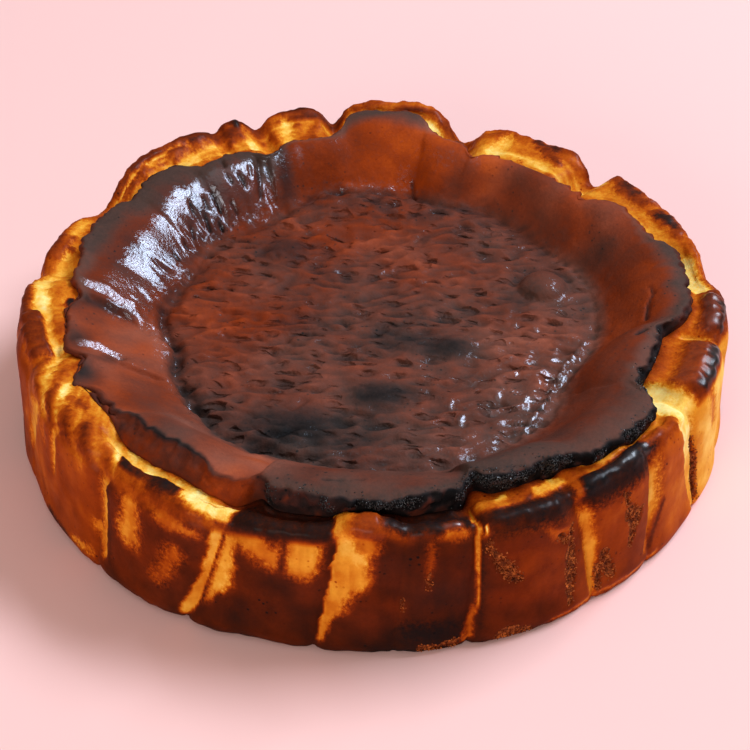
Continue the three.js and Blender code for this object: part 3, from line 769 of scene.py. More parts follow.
shader = start.node("ShaderNodeBsdfPrincipled", sockets={
    "Base Color": colour, "Roughness": roughness, "Normal": bump, "Coat Weight": gloss_mark,
    "Coat Roughness": 0.28, "Specular IOR Level": 0.02,
    "Subsurface Weight": 0.15, "Subsurface Radius": (1.0, 0.45, 0.2), "Subsurface Scale": 0.003,
})
start.node("ShaderNodeOutputMaterial", sockets={"Surface": shader})
custard_body.data.materials.append(custard_finish)

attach(custard_body, "root")
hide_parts("cheesecake")

# Burnt skin
# The leathery top that the oven burnt: one sheet over the custard, dark and partly glossy, that rose, split
# from the wall in tongues with a broken lip, and sank in the middle to a pitted floor with one blister.
LIP_ROUND = 1.5
TONGUE_CROWN = 1.6
FLOOR_HEIGHT = 34.0
FLOOR_HALF_X = 71.5
FLOOR_HALF_Y = 75.0
FLOOR_SHIFT_X = 3.5
FLOOR_DISH = 0.8
SKIN_SPACING = 0.78
SKIN_UNDERSIDE = 20.0
SLOPE_STATIONS = (
    (0.86, 0.99, 0.45), (0.72, 0.93, 0.8), (0.56, 0.77, 1), (0.4, 0.54, 0.9), (0.25, 0.29, 0.6),
    (0.12, 0.1, 0.25),
)
STRAIGHT_AT = (193, 33)
STRAIGHT_CROWN = 0.6
EDGE_TEARS = 0.7
RAGGED_FACE = 1.0
RAGGED_LIP = 0.7
# Points and dents of the broken edge, as angle, half width in degrees and reach in mm
EDGE_POINTS = ((197.5, 3, 2), (208.5, 2, 3.5), (216, 4, -1.5), (258, 3, -0.8), (272, 4, 1), (281, 3, -1))

# Waves of the floor's edge, in the same way
FLOOR_WAVES = (
    (12, 10, 1.4), (36, 9, -1.2), (56, 6, 1), (71, 7, -3.2), (84, 6, 1.2), (101, 9, 2.4), (122, 8, -1.6),
    (140, 7, 1.8), (158, 7, -1.4), (176, 8, 1.6), (194, 7, -1.2), (232, 15, 3.6), (262, 9, -1),
    (290, 10, 1.6), (333, 13, -6),
)


def floor_radius(angle):
    """Radius of the sunken floor's edge, an ellipse about a shifted middle, seen from the cake's axis."""
    x = np.cos(np.radians(angle)) / FLOOR_HALF_X
    y = np.sin(np.radians(angle)) / FLOOR_HALF_Y
    shift = FLOOR_SHIFT_X / FLOOR_HALF_X
    square = x * x + y * y
    radius = (shift * x + np.sqrt((shift * x) ** 2 + square * (1 - shift * shift))) / square
    return radius + waves(angle, FLOOR_WAVES)


edge_spots = turned(np.stack([edge, lip], -1), angles)
teeth = held(tongues, angles, "teeth") * (1 - 3.5 * np.abs(noise(edge_spots, 5.5, 22)))
torn_edge = edge + EDGE_TEARS * noise(edge_spots, 9, 21) + 0.6 * teeth + 0.3 * noise(edge_spots, 2, 46)
torn_edge = torn_edge + waves(angles, EDGE_POINTS)
floor_edge = floor_radius(angles)
swell = TONGUE_CROWN * crown(tongues, angles) - cut_by(tongues, angles, "fold")
under_line = [(face_foot - 3, crack - 4), (face_foot - 0.6, crack - 1.2)]
torn_lip = lip + RAGGED_LIP * held(tongues, angles, "char") * noise(edge_spots, 6, 58)
face_line = [(mix(face_foot, torn_edge, 0.5), mix(crack, lip, 0.5))]
lip_line = round_edge(torn_edge - LIP_ROUND, torn_lip - LIP_ROUND, LIP_ROUND, (0, 45, 95))
straight = bell(angles, *STRAIGHT_AT)
swell = swell * (1 - STRAIGHT_CROWN * straight)
slope_line = [
    (mix(floor_edge, edge, out), mix(FLOOR_HEIGHT, lip, mix(up, out, straight)) + rise * swell)
    for out, up, rise in SLOPE_STATIONS
]
skin_line = under_line + face_line + lip_line + slope_line + [(floor_edge, FLOOR_HEIGHT)]
skin_curve, skin_place = swept(stations(skin_line), SKIN_SPACING)
lip_top = len(under_line) + len(face_line) + len(lip_line) - 1
skin = turned(skin_curve, angles)

# The floor goes on inwards in rings that halve their points as they get shorter
FLOOR_SPACING = 0.74
HALVE_BELOW = 0.5
floor_rings = []
floor_angles = []
count = STEPS
share = 1.0
while share * FLOOR_HALF_X > 3 * FLOOR_SPACING:
    share -= FLOOR_SPACING / FLOOR_HALF_X
    if math.tau * share * FLOOR_HALF_X / count < HALVE_BELOW and count > 15:
        count //= 2
    ring_angles = np.arange(count) * TURN / count
    radius = share * floor_radius(ring_angles)
    height = np.full(count, FLOOR_HEIGHT - FLOOR_DISH * (1 - share * share))
    floor_rings.append(turned(np.stack([radius, height], -1), ring_angles))
    floor_angles.append(ring_angles)

# Pits in the floor lie mostly across it; those in the glossy slope run down it
PIT_SEED = 5
FLOOR_PITS = 480
SLOPE_PITS = 60
SLOPE_PIT_WIDER = 1.1
GLOSSY_FROM, GLOSSY_TO = 117.0, 182.0
PIT_RIM = 0.4
pit_draw = np.random.default_rng(PIT_SEED)
floor_angle = pit_draw.uniform(0, TURN, FLOOR_PITS)
pit_angle = np.append(floor_angle, pit_draw.uniform(GLOSSY_FROM, GLOSSY_TO, SLOPE_PITS))
floor_out = np.sqrt(pit_draw.uniform(0, 0.92, FLOOR_PITS))
pit_out = np.append(floor_out, pit_draw.uniform(1.03, 1.16, SLOPE_PITS))
pit_curve = np.stack([pit_out * floor_radius(pit_angle), np.zeros(len(pit_out))], -1)
pit_middle = turned(pit_curve, pit_angle)[:, :2]
pit_lie = np.append(
    pit_draw.normal(-6, 22, FLOOR_PITS), pit_angle[FLOOR_PITS:] + pit_draw.normal(0, 12, SLOPE_PITS)
)
pit_size = pit_draw.uniform(0, 1, FLOOR_PITS + SLOPE_PITS) ** 1.3
pit_length = mix(1.3, 4.0, pit_size)
pit_width = mix(0.6, 1.25, pit_size)
pit_width[FLOOR_PITS:] *= SLOPE_PIT_WIDER
pit_depth = mix(0.35, 1.0, pit_size)
pit_depth[FLOOR_PITS:] *= SLOPE_PIT_WIDER


def pits(points):
    """Depth of all pits at the given points, less their raised rims."""
    flat = points.reshape(-1, 3)
    order = np.argsort(flat[:, 0])
    sorted_x = flat[order, 0]
    depth = np.zeros(len(flat))
    sizes = zip(pit_middle, np.radians(pit_lie), pit_length, pit_width, pit_depth)
    for middle, lie, length, width, deep in sizes:
        first, last = np.searchsorted(sorted_x, (middle[0] - 4 * length, middle[0] + 4 * length))
        near = order[first:last]
        near = near[np.abs(flat[near, 1] - middle[1]) < 4 * length]
        x, y = (flat[near, :2] - middle).T
        along = (x * np.cos(lie) + y * np.sin(lie)) / length
        across = (y * np.cos(lie) - x * np.sin(lie)) / width
        square = along ** 2 + across ** 2
        depth[near] += deep * ((1 + PIT_RIM) * np.exp(-square) - PIT_RIM * np.exp(-square / 3))
    return np.clip(depth, -0.6, 1.6).reshape(points.shape[:-1])


# Blisters as x, y, radius and height: the large one, then small ones and low swellings
BLISTERS = (
    (59, 18.5, 8.4, 4.6), (44.4, -21.6, 3.2, 1.2), (34, 30, 2.6, 0.8), (52, -8, 2.2, 0.8),
    (20, 48, 2.4, 0.7), (61, -12, 2.0, 0.7), (10, -60, 3.0, 0.8), (-30, 41, 8, 1.4), (28, -14, 7, 1.2),
    (-20, -12, 8, 0.9), (2, -39, 8, 0.9),
)
# Where the floor is smooth, as x, y and reach: the blister and the scorched patches
SMOOTH_SPOTS = ((59, 18.5, 10), (3, -39, 9), (26, -15, 9), (-24, -50, 10), (-30, 41, 7))
# Swellings of the slope as angle, mm outside the floor's edge, half widths in degrees and mm, and height
BULGES = (
    (97, 8, 11, 8, 1.6), (71.5, 6, 6, 6, 2.6), (50, 12, 8, 9, 0.8), (126, 17, 5, 6, 0.4),
    (142, 19, 5, 6, 0.4), (157, 19, 5, 6, 0.4),
)
# Twists of the slope in the same way, with mm of height for each degree: they turn it towards the window
TWISTS = ((121, 12, 6, 7, 0.2),)
# Slits in the skin, from one x, y to another with half width and depth: on the right and front tongues and
# at the fold behind. Gashes down the glossy slope are given in the same way.
SLITS = (
    (89, -15, 90.5, -8, 0.6, 1.4), (90.5, -8, 92.5, -4, 0.5, 1.2), (92.5, -4, 92, 0, 0.45, 1.0),
    (84, -27, 87, -25, 0.8, 1.4), (-14, -97.5, -8, -98, 0.3, 0.8), (-6, -98.2, -2, -98, 0.3, 0.7),
    (13, -97, 20, -96, 0.3, 0.8), (15.2, 80, 16, 72, 0.6, 1.3), (16, 72, 20, 69, 0.6, 1.2),
)
GASHES = (
    (-54.7, 74.6, -53.3, 71, 0.8, 1.4), (-57.6, 62.6, -54.8, 59.2, 0.9, 1.6),
    (-59.5, 54.2, -58, 50.8, 0.8, 1.6), (-64.2, 47.6, -63.2, 44, 0.7, 1.6),
    (-41.7, 79, -40.6, 67.7, 1.1, 1.8), (-50.7, 61, -48.8, 59.2, 0.8, 1.3),
    (-52.1, 67.5, -50.7, 66.4, 0.7, 1.4), (-47.8, 68.9, -45.9, 67.1, 0.7, 1.4),
    (-65.1, 55.9, -63.9, 53.6, 0.6, 1.2), (-66.2, 40.4, -65.1, 38.7, 0.8, 1.4),
    (-44.5, 74, -44, 71, 0.5, 1.2), (-60.5, 60, -59, 57.5, 0.6, 1.2), (-69, 33, -67.5, 31, 0.7, 1.2),
    (-55, 55, -53.6, 52.6, 0.7, 1.5),
)
# Wet strings of skin along the floor's right edge, in the same way with their height
STRINGS = (
    (71, -11, 63, -24.2, 0.7, 1.1), (63, -24.2, 57.5, -36, 0.7, 1.2), (57.5, -36, 52.7, -47.8, 0.6, 1.0),
    (52.7, -47.8, 46.3, -58.8, 0.8, 1.3), (68.5, -19, 61, -33, 0.6, 0.9),
    (30.8, -62, 25.3, -68, 0.5, 0.6),
)
# Rolls of skin before the folds of the left side: x, y and z of one end, x and y of the other, half width
# and gloss. Each is flat across and falls by so many mm a mm along x and y, so that it mirrors the window.
ROLLS = (
    (-98, 2.4, 50.7, -88.3, 1.0, 2.6, 1), (-88.3, 1.0, 46.2, -80.5, -1.3, 2.9, 0.8),
    (-80.5, -1.3, 42.2, -76.1, -7.3, 2, 0.5), (-91.3, -28.2, 47.2, -86.3, -28.5, 2.2, 1),
    (-86.3, -28.5, 45.0, -79.9, -30.7, 1.9, 0.7),
)
ROLL_FALL = (0.413, -0.335)
FOLD_PIVOT = 19.0
# Flakes on the floor that mirror the window, as x, y and half sizes: each leans the same way
FLAKES = (
    (56, -30.8, 3.4, 4.6), (59.8, -21.5, 1.6, 2.4), (60.8, -16.7, 1.1, 1.9), (49.4, -42.3, 1.5, 3.2),
    (28.1, -52, 1.5, 3.0), (25.4, -43.8, 1.1, 2.5), (47.2, -28.2, 1.1, 1.9), (40.4, -39.9, 1.2, 1.9),
    (41.9, -35.9, 1.3, 1.3), (37.4, -47.7, 1.0, 1.3), (38.6, 8.1, 1.3, 1.1), (48.4, -2.6, 1.0, 1.5),
    (55.2, -5.4, 1.1, 1.3),
)
FLAKE_FACING = math.radians(-39)
FLAKE_TILT = 0.55
# Depth of the crease between floor and slope, as angle, half width in degrees and mm over its least depth:
# deep and wide on the left, crumpled on the right
MOAT_DEPTHS = ((200, 50, 3.2), (252, 30, 1.2), (322, 25, 0.8), (95, 35, 2.0))
MOAT_LEAST = 0.4
MOAT_BANK, MOAT_FLOOR_BANK = 1.5, 3.0
MOAT_WINDS = ((1.8, 13, 29), (0.9, 4.5, 55))


def from_spot(points, x, y, wide, deep):
    """Square of the distance from a place on the floor, counted in half sizes."""
    return ((points[..., 0] - x) / wide) ** 2 + ((points[..., 1] - y) / deep) ** 2


def slope_spot(angle, out, at, reach, wide, deep):
    """1 at a place on the slope, falling off over half widths in degrees and mm."""
    return bell(angle, at, wide) * hump(out, reach, deep)


def flake_cover(points):
    """Cover of the flakes, from 0 to 1, and the height in mm that tilts them."""
    cover = np.zeros(points.shape[:-1])
    height = np.zeros(points.shape[:-1])
    for x, y, wide, deep in FLAKES:
        near = np.exp(-(from_spot(points, x, y, wide, deep) ** 2))
        right, back = points[..., 0] - x, points[..., 1] - y
        fall = right * math.cos(FLAKE_FACING) + back * math.sin(FLAKE_FACING)
        cover = np.maximum(cover, near)
        height = height - near * FLAKE_TILT * fall
    return cover, height


def moat(points, angle, out):
    """Depth in mm of the winding crease between floor and slope."""
    bank = np.where(out > 0, MOAT_BANK, MOAT_FLOOR_BANK)
    winding = out + lumpy(points, MOAT_WINDS)
    deep = MOAT_LEAST + waves(angle, MOAT_DEPTHS)
    return deep * (0.75 + 0.6 * noise(points, 7, 56)) * hump(winding, 0, bank)


def smooth_spot(points):
    """Where the floor is smooth, from 0 to 1."""
    near = sum(np.exp(-from_spot(points, x, y, reach, reach)) for x, y, reach in SMOOTH_SPOTS)
    return np.minimum(near, 1)


def wrinkles(points):
    """Long wrinkles across the floor, from about -1 to 1, and none where it is smooth."""
    bent = points + 1.4 * noise(points, 9, 54)[..., None]
    folds = 0.6 * noise(bent, (7, 2.8, 3), 25) + 0.4 * (1 - 3 * np.abs(noise(bent, (10, 4.2, 6), 24)))
    return folds * (1 - 0.85 * smooth_spot(points))


def pitted(points, out):
    """Where the floor has small dents: all over it but for its smooth spots."""
    return (1 - ease(-4, 1, out)) * (1 - smooth_spot(points))


def blister_trough(points):
    """The crumpled hollow behind the large blister, from 0 to 1."""
    x, y, radius = BLISTERS[0][:3]
    away = np.hypot(points[..., 0] - x, points[..., 1] - y) / radius
    return hump(away, 1.2, 0.2) * ease(-0.5, 0.6, (points[..., 1] - y) / radius)


# Places round the foot of the slope: where the floor rises behind as angle and half width, where it is wet
# as a place on the slope, and where the foot is crumpled, with how much
BACK_RISE_AT = (92, 36)
BACK_RISE = 3.0
WET_SPOT = (322, -2, 24, 6)
WET_LUMPS = 0.9
CRUMPLED = 0.4
CRUMPLED_AT = ((190, 60, 0.6), (92, 22, 0.5))
SMOOTH_DOME = 9


def floor_relief(points, angle, out, flake):
    """Height of the floor's swells and wrinkles, of the hollow by its blister and of its rise behind."""
    swells = 0.9 * noise(points, 27, 23) + 1.2 * (1 - flake) * wrinkles(points)
    rise = BACK_RISE * bell(angle, *BACK_RISE_AT) * ease(-38, 0, out)
    return swells - 1.1 * blister_trough(points) + rise


def foot_relief(points, angle, out):
    """Height of the crumples at the foot of the slope, and of the wet lumps there on the right."""
    spots = turned(np.stack([np.full(out.shape, FLOOR_HALF_X), out], -1), angle)
    crumples = 1.1 * noise(spots, (4.2, 4.2, 12), 48) + 0.5 * noise(points, 2.6, 49)
    crumples = crumples * hump(out, 2, 6) * (CRUMPLED + waves(angle, CRUMPLED_AT))
    wet = WET_LUMPS * slope_spot(angle, out, *WET_SPOT) * noise(points, (2.6, 2.6, 2), 30)
    return crumples + wet


def slope_relief(points, angle, out):
    """Height of the steps at the slope's folds, and of its bulges and twists."""
    relief = np.zeros(out.shape)
    bent = 0.5 * noise(points, 6, 43)
    along = ease(2, 8, out) * (1 - 0.6 * ease(15, 27, out))
    for at, step, skew in zip(tongues["start"], tongues["step"], tongues["skew"]):
        side = swing(at + skew * (FOLD_PIVOT - out), angle) + bent
        relief = relief - step * np.tanh(side / 0.45) * np.exp(-np.abs(side) / 5) * along
    for *spot, height in BULGES:
        relief = relief + height * slope_spot(angle, out, *spot)
    for *spot, rise in TWISTS:
        relief = relief + rise * swing(spot[0], angle) * slope_spot(angle, out, *spot)
    return relief


def blister_relief(points):
    """Height of all the blisters."""
    relief = np.zeros(points.shape[:-1])
    for x, y, radius, height in BLISTERS:
        relief += height * np.clip(1 - from_spot(points, x, y, radius, radius), 0, 1) ** 0.7
    return relief


def top_relief(points, angle, out):
    """Height to add to the skin at points of the given angle and mm outside the floor's edge."""
    on_floor = 1 - ease(-2, 4, out)
    on_slope = ease(1, 6, out) * (1 - ease(18, 26, out))
    shine = held(tongues, angle.reshape(-1), "gloss").reshape(angle.shape)
    flake, tilt = flake_cover(points)
    x, y = BLISTERS[0][:2]
    rough = on_floor * (1 - 0.8 * np.exp(-(from_spot(points, x, y, SMOOTH_DOME, SMOOTH_DOME) ** 2)))
    lumps = mix(0.7, 0.35, shine) * noise(points, 16, 26) + shine * 0.09 * noise(points, 3.4, 27)
    relief = (
        on_floor * floor_relief(points, angle, out, flake)
        + foot_relief(points, angle, out)
        + on_slope * lumps
        + slope_relief(points, angle, out)
        - pits(points) * np.maximum(rough, 0.8 * on_slope * shine) * (1 - flake) + tilt
        - moat(points, angle, out)
        + blister_relief(points)
    )
    for x, y, z, end_x, end_y, half, _ in ROLLS:
        level = z - ROLL_FALL[0] * (points[..., 0] - x) - ROLL_FALL[1] * (points[..., 1] - y)
        relief = mix(relief, level - points[..., 2], roll_cover(points, x, y, end_x, end_y, half))
    return relief + string_cover(points) - line_cover(points, SLITS + GASHES)


def from_line(points, x, y, end_x, end_y, half):
    """How many half widths each point is away from a line."""
    run, rise = end_x - x, end_y - y
    right, back = points[..., 0] - x, points[..., 1] - y
    share = np.clip((right * run + back * rise) / (run * run + rise * rise), 0, 1)
    away = np.hypot(right - share * run, back - share * rise)
    return (away + 0.3 * noise(points, 2, 50)) / half


def roll_cover(points, *line):
    """Cover of one ragged roll, from 0 to 1."""
    return np.exp(-((from_line(points, *line) + 0.22 * noise(points, 3.4, 68)) ** 4))


def line_cover(points, rows):
    """Depth of slits or height of strings at the given points."""
    depth = np.zeros(points.shape[:-1])
    for *line, deep in rows:
        depth = np.maximum(depth, deep * hump(from_line(points, *line), 0, 1))
    return depth


def string_cover(points):
    """Height of the crumpled wet strings at the given points."""
    return line_cover(points + 2.4 * noise(points, 5, 66)[..., None], STRINGS)


skin_angles = np.broadcast_to(angles, skin.shape[:2])
skin_radius = np.hypot(skin[..., 0], skin[..., 1])
skin_out = skin_radius - floor_edge
on_top = ease(lip_top - 0.4, lip_top + 1.0, skin_place)[:, None]
on_face = (ease(1.4, 2.0, skin_place) * (1 - ease(lip_top - 1.6, lip_top - 0.2, skin_place)))[:, None]
on_lip = ease(lip_top - 0.9, lip_top + 0.12, skin_place[:, None] + 0.3 * noise(skin, 2.5, 65))
char = held(tongues, angles, "char")[None]
skin[..., 2] += on_top * top_relief(skin, skin_angles, skin_out)
face_lumps = noise(skin, 2.2, 31) + 0.7 * noise(skin, 5, 32)
face_relief = on_face * RAGGED_FACE * face_lumps * mix(0.5, 1.3, char)
skin = skin + outward(skin) * face_relief[..., None]

# Marks for the finish: how far it is baked, with painted light and shade in it, how ashen, how glossy,
# and where char crumbles off. Darker and lighter places of the slope are as its swellings, with a change
# of tone; the dark strips beside the folds at 112.5, 183.2 and 201.8 degrees are painted shade, and the
# paler ridge at 60 degrees is painted light.
SLOPE_SHADES = (
    (206, 30, 3.4, 5, 0.4), (196, 30, 3, 4, 0.35), (184.5, 31, 1.8, 3.5, 0.5), (183.2, 19, 1.3, 9, 0.34),
    (201.8, 21, 1.1, 6, 0.2), (112.5, 16, 2.4, 16, 0.32), (67, 24, 2.2, 2.4, 0.6), (60, 13, 5, 13, -0.3),
    (66, 6, 5, 6, 0.14), (84, 16, 12, 16, -0.08), (45, 12, 7, 16, 0.02), (30, 12, 9, 12, -0.08),
    (20.5, 6, 6, 7, 0.18), (34, 5, 6, 6, 0.14), (54, 5, 5, 6, -0.08), (9, 7, 5, 6, 0.06),
    (5, 16, 8, 14, -0.04), (40, 14, 6, 10, -0.06), (275, 20, 14, 12, 0.06), (206, 24, 8, 7, -0.08),
    (197, 20, 7, 9, -0.02), (216, 13, 7, 8, 0.1), (231, 18, 6, 8, 0.16), (350, 12, 9, 12, -0.04),
    (192, 14, 8, 12, -0.04),
)
# Glossy spots of the slope, in the same way with their gloss
GLOSSY_SPOTS = (
    (64, 13, 2.4, 4, 0.3), (80.5, 6, 4, 6, 0.34), (92, 3, 20, 3, 0.34), (108, 12, 1, 4, 0.8),
    (190, 3, 12, 4, 0.6), (215, 2, 12, 3, 0.5),
)
SLOPE_MOTTLE = ((0.08, 22, 33), (0.07, 8, 34))
FACE_MOTTLE = ((0.1, 5, 37), (0.08, 2, 38))
# Places round the edge as angle and half width: a browner broken face, browner char behind the edge, and a
# dark line along it
BROWN_FACE_AT = (259, 7)
BROWN_ASH_AT = (314, 18)
DARK_LINE_AT = (232, 15)
behind = torn_edge - skin_radius
ash_width = np.maximum(held(tongues, angles, "ash"), 0.5)
slope_tone = held(tongues, angles, "tone", 3.0)[None] + lumpy(skin, SLOPE_MOTTLE)
# Some of these changes are painted shade beside folds and painted light on a ridge, as listed above.
for *spot, change in SLOPE_SHADES:
    slope_tone = slope_tone + change * slope_spot(angles[None], skin_out, *spot)
gashes = line_cover(skin, GASHES)
# Slits and gashes are made darker: painted shade in the grooves.
slope_tone = slope_tone + 0.25 * line_cover(skin, SLITS) + 0.12 * gashes
ashen = 1 - ease(0.3, 1.2, behind / ash_width + 0.25 * noise(skin, 9, 35))
rim = 1 - ease(0.0, 1.0, behind + 0.7 * noise(skin, 3, 36))
face_tone = mix(0.3, 0.97, char) + lumpy(skin, FACE_MOTTLE) - 0.16 * bell(angles, *BROWN_FACE_AT)[None]
face_tone = face_tone - 0.26 * ease(0.2, 0.5, noise(skin, 5, 62)) * ease(0.8, 1, char)
ash_tone = 0.72 - 0.1 * bell(angles, *BROWN_ASH_AT)
skin_tone = mix(slope_tone, ash_tone, ashen * ease(3, 10, ash_width))
skin_tone = mix(skin_tone, 0.9, rim * ease(0.35, 0.8, char))
skin_tone = mix(face_tone, skin_tone, on_lip)
dark_line = bell(angles, *DARK_LINE_AT) * hump(behind + 0.8 * noise(skin, 4, 67), 1.1, 0.9)
skin_tone = mix(skin_tone, 0.95, dark_line * ease(lip_top - 1.6, lip_top - 0.6, skin_place)[:, None])
bloom = held(tongues, angles, "bloom", 3.0)[None] * (0.85 - 0.7 * noise(skin, 12, 51))
ashen = np.maximum(ashen * (1 - 0.6 * rim) * ease(1, 6, ash_width), bloom) * on_lip
gloss_end = 1 - ease(15, 22, skin_out + 2 * noise(skin, 6, 57))
gloss_band = ease(4.5, 12, skin_out + 2 * noise(skin, 5, 64))
skin_gloss = held(tongues, angles, "gloss", 2.5)[None] * gloss_end * on_top
skin_gloss = skin_gloss * mix(0.32 + 0.3 * noise(skin, 3, 63), 1, gloss_band)
scattered = 0.55 * (1 - ease(0.0, 4.0, behind + 2 * noise(skin, 5, 59))) ** 2 * on_top
grit = ease(0.75, 1.0, char) * np.maximum(on_face * ease(-0.05, 0.5, noise(skin, 7, 52)), scattered)

# Darker and paler places on the floor, as x, y, reach in x, reach in y and change of tone
FLOOR_SHADES = (
    (3, -39, 13, 6, 0.3), (26, -15, 11, 5.5, 0.24), (-13, -58, 26, 12, 0.18), (-24, -52, 14, 9, 0.16),
    (-48, -8, 16, 22, -0.1), (-5, 52, 26, 12, -0.08), (44, 11, 16, 14, 0.06), (-46, -50, 14, 12, 0.08),
    (45, -10, 14, 10, -0.1), (-30, 41, 9, 6, 0.1), (50, -32, 10, 10, -0.04), (-50, 12, 16, 20, -0.03),
    (0, 0, 24, 16, 0.08), (9, -11, 13, 8, 0.14), (-25, -61, 12, 8, 0.1),
    (50, 11, 7, 7, 0.1), (-13, -42, 8, 5, -0.1),
)
FLOOR_BAKED = 0.58
FLOOR_MOTTLE = ((0.09, 24, 39), (0.05, 8, 40))
FLOOR_ASHEN = 0.54
WARM_SPOT = (-42, 2, 18, 12)
WET_SIDE_AT = (318, 50)


def floor_tone(points):
    """Tone of the floor with painted light and shade: paler on its wrinkles, darker in its pits and hollow.
    """
    tone = FLOOR_BAKED + lumpy(points, FLOOR_MOTTLE) - 0.17 * wrinkles(points)
    tone = tone + 0.09 * np.clip(pits(points), -0.5, 1) * (1 - smooth_spot(points))
    tone = tone + 0.14 * blister_trough(points)
    for *spot, change in FLOOR_SHADES:
        tone = tone + change * np.exp(-(from_spot(points, *spot) ** 1.5))
    return tone


def floor_ash(points):
    """How ashen the floor is: more at its front and right, less in a warm spot on the left."""
    across = 0.003 * points[..., 0] - 0.005 * points[..., 1]
    warm = 0.35 * np.exp(-from_spot(points, *WARM_SPOT))
    return np.clip(FLOOR_ASHEN + 0.3 * noise(points, 18, 41) + across - warm, 0, 1)


def floor_gloss(points, angle):
    """How glossy the floor is: towards its right side, on the blister, the flakes and the strings."""
    right_side = np.hypot(points[..., 0], points[..., 1]) / floor_radius(angle) * bell(angle, *WET_SIDE_AT)
    x, y = BLISTERS[0][:2]
    dome = 0.3 * np.exp(-from_spot(points, x + 4, y - 2, 4, 6))
    base = 0.05 + 0.3 * right_side ** 2 + 0.25 * noise(points, 7, 42) + dome
    return np.clip(np.maximum(base, flake_cover(points)[0] + 0.7 * string_cover(points)), 0.03, 1)


MOAT_SHADE = 0.07
near_floor = (1 - ease(0, 5, skin_out)) * on_top
skin_tone = mix(skin_tone, floor_tone(skin), near_floor)
skin_tone = skin_tone + MOAT_SHADE * moat(skin, skin_angles, skin_out) * on_top
ashen = mix(ashen, floor_ash(skin), near_floor)
skin_gloss = mix(skin_gloss, floor_gloss(skin, skin_angles), near_floor * 0.8)
for *spot, shine in GLOSSY_SPOTS:
    skin_gloss = np.maximum(skin_gloss, shine * slope_spot(angles[None], skin_out, *spot) * on_top)
for x, y, _, end_x, end_y, half, shine in ROLLS:
    skin_gloss = np.maximum(skin_gloss, shine * roll_cover(skin, x, y, end_x, end_y, half) * on_top)
skin_gloss = skin_gloss * (1 - 0.5 * np.minimum(gashes, 1))

under_ring = level_ring(face_foot - CORE_INSET, SKIN_UNDERSIDE)
skin_rings = [base_middle + (0, 0, SKIN_UNDERSIDE), under_ring, *skin]
# The skin's tone mark holds painted light and shade too: on the floor's wrinkles, pits and blister hollow,
# in slits, gashes and the moat, and beside folds.
skin_marks = {
    mark: [np.zeros(1), np.zeros(STEPS), *values]
    for mark, values in (
        ("baked", skin_tone), ("ashen", ashen), ("gloss", skin_gloss), ("grit", grit),
        ("pitted", pitted(skin, skin_out) * on_top),
    )
}
for points, ring_angles in zip(floor_rings, floor_angles):
    out = np.hypot(points[:, 0], points[:, 1]) - floor_radius(ring_angles)
    points[:, 2] += top_relief(points, ring_angles, out)
    skin_rings.append(points)
    skin_marks["baked"].append(floor_tone(points) + MOAT_SHADE * moat(points, ring_angles, out))
    skin_marks["ashen"].append(floor_ash(points))
    skin_marks["gloss"].append(floor_gloss(points, ring_angles))
    skin_marks["grit"].append(np.zeros(len(points)))
    skin_marks["pitted"].append(pitted(points, out))
skin_rings.append(skin_rings[-1].mean(0, keepdims=True))
for values in skin_marks.values():
    values.append(values[-1].mean(keepdims=True))
burnt_skin = closed_piece("burnt_skin", [ring - cake_middle for ring in skin_rings], skin_marks)

# Burnt milk sugar from orange brown to black, with a grey bloom where it is ashen
SKIN_COLOURS = (
    (0.0, (216, 102, 28)), (0.15, (184, 76, 20)), (0.3, (150, 56, 14)), (0.45, (118, 43, 15)),
    (0.58, (96, 42, 27)), (0.7, (72, 36, 29)), (0.82, (47, 30, 28)), (0.92, (28, 22, 22)),
    (1.0, (14, 13, 14)),
)
ASH_COLOURS = (
    (0.0, (172, 108, 84)), (0.3, (148, 88, 70)), (0.5, (110, 66, 54)), (0.7, (76, 55, 48)),
    (0.85, (48, 40, 37)), (1.0, (22, 20, 20)),
)
# Dents of the floor: size of one with its gaps along and across it in metres, their lie in degrees, and how
# far they wander
DENT_SIZE = (0.0092, 0.0036, 1.0)
DENT_LIE = -10.0
DENT_BEND = (0.006, 0.006, 0.006)
skin_finish, start = new_finish("burnt_skin")
place = start.node("ShaderNodeTexCoord", output="Object")
gloss_mark = mark_wire(start, "gloss")
mottle = noise_wire(start, place, 210.0, 6.0, 0.62)
leather = noise_wire(start, place, 720.0)
wet = noise_wire(start, place, 360.0, 3.0)
grain = noise_wire(start, place, 1300.0, 2.0)
warp = start.node("ShaderNodeTexNoise", sockets={
    "Vector": place, "Scale": 120.0, "Detail": 3.0}, output="Color")
bent = start.node("ShaderNodeVectorMath", {"operation": "MULTIPLY_ADD"}, {0: warp, 1: DENT_BEND, 2: place})
lying = start.node("ShaderNodeMapping", {"vector_type": "TEXTURE"}, {
    "Vector": bent, "Rotation": (0, 0, math.radians(DENT_LIE)), "Scale": DENT_SIZE})
cells = start.node("ShaderNodeTexVoronoi", {"voronoi_dimensions": "2D"}, {
    "Vector": lying, "Scale": 1.0}, output="Distance")
cell_colour = Wire(start.tree, cells.socket.node.outputs["Color"])
cell_share = start.node("ShaderNodeSeparateColor", sockets={0: cell_colour})
dent = risen(start, cells - (cell_share - 0.4) * 0.8, 0.1, -0.34, "SMOOTHSTEP") * mark_wire(start, "pitted")
pore = pore_wire(start, place, 380.0, 0.2, 70.0, 0.5, 0.62)
lip_speck = (leather - 0.42) * mark_wire(start, "grit")
tone = mark_wire(start, "baked") + (mottle - 0.5) * 0.18 + (leather - 0.5) * 0.16
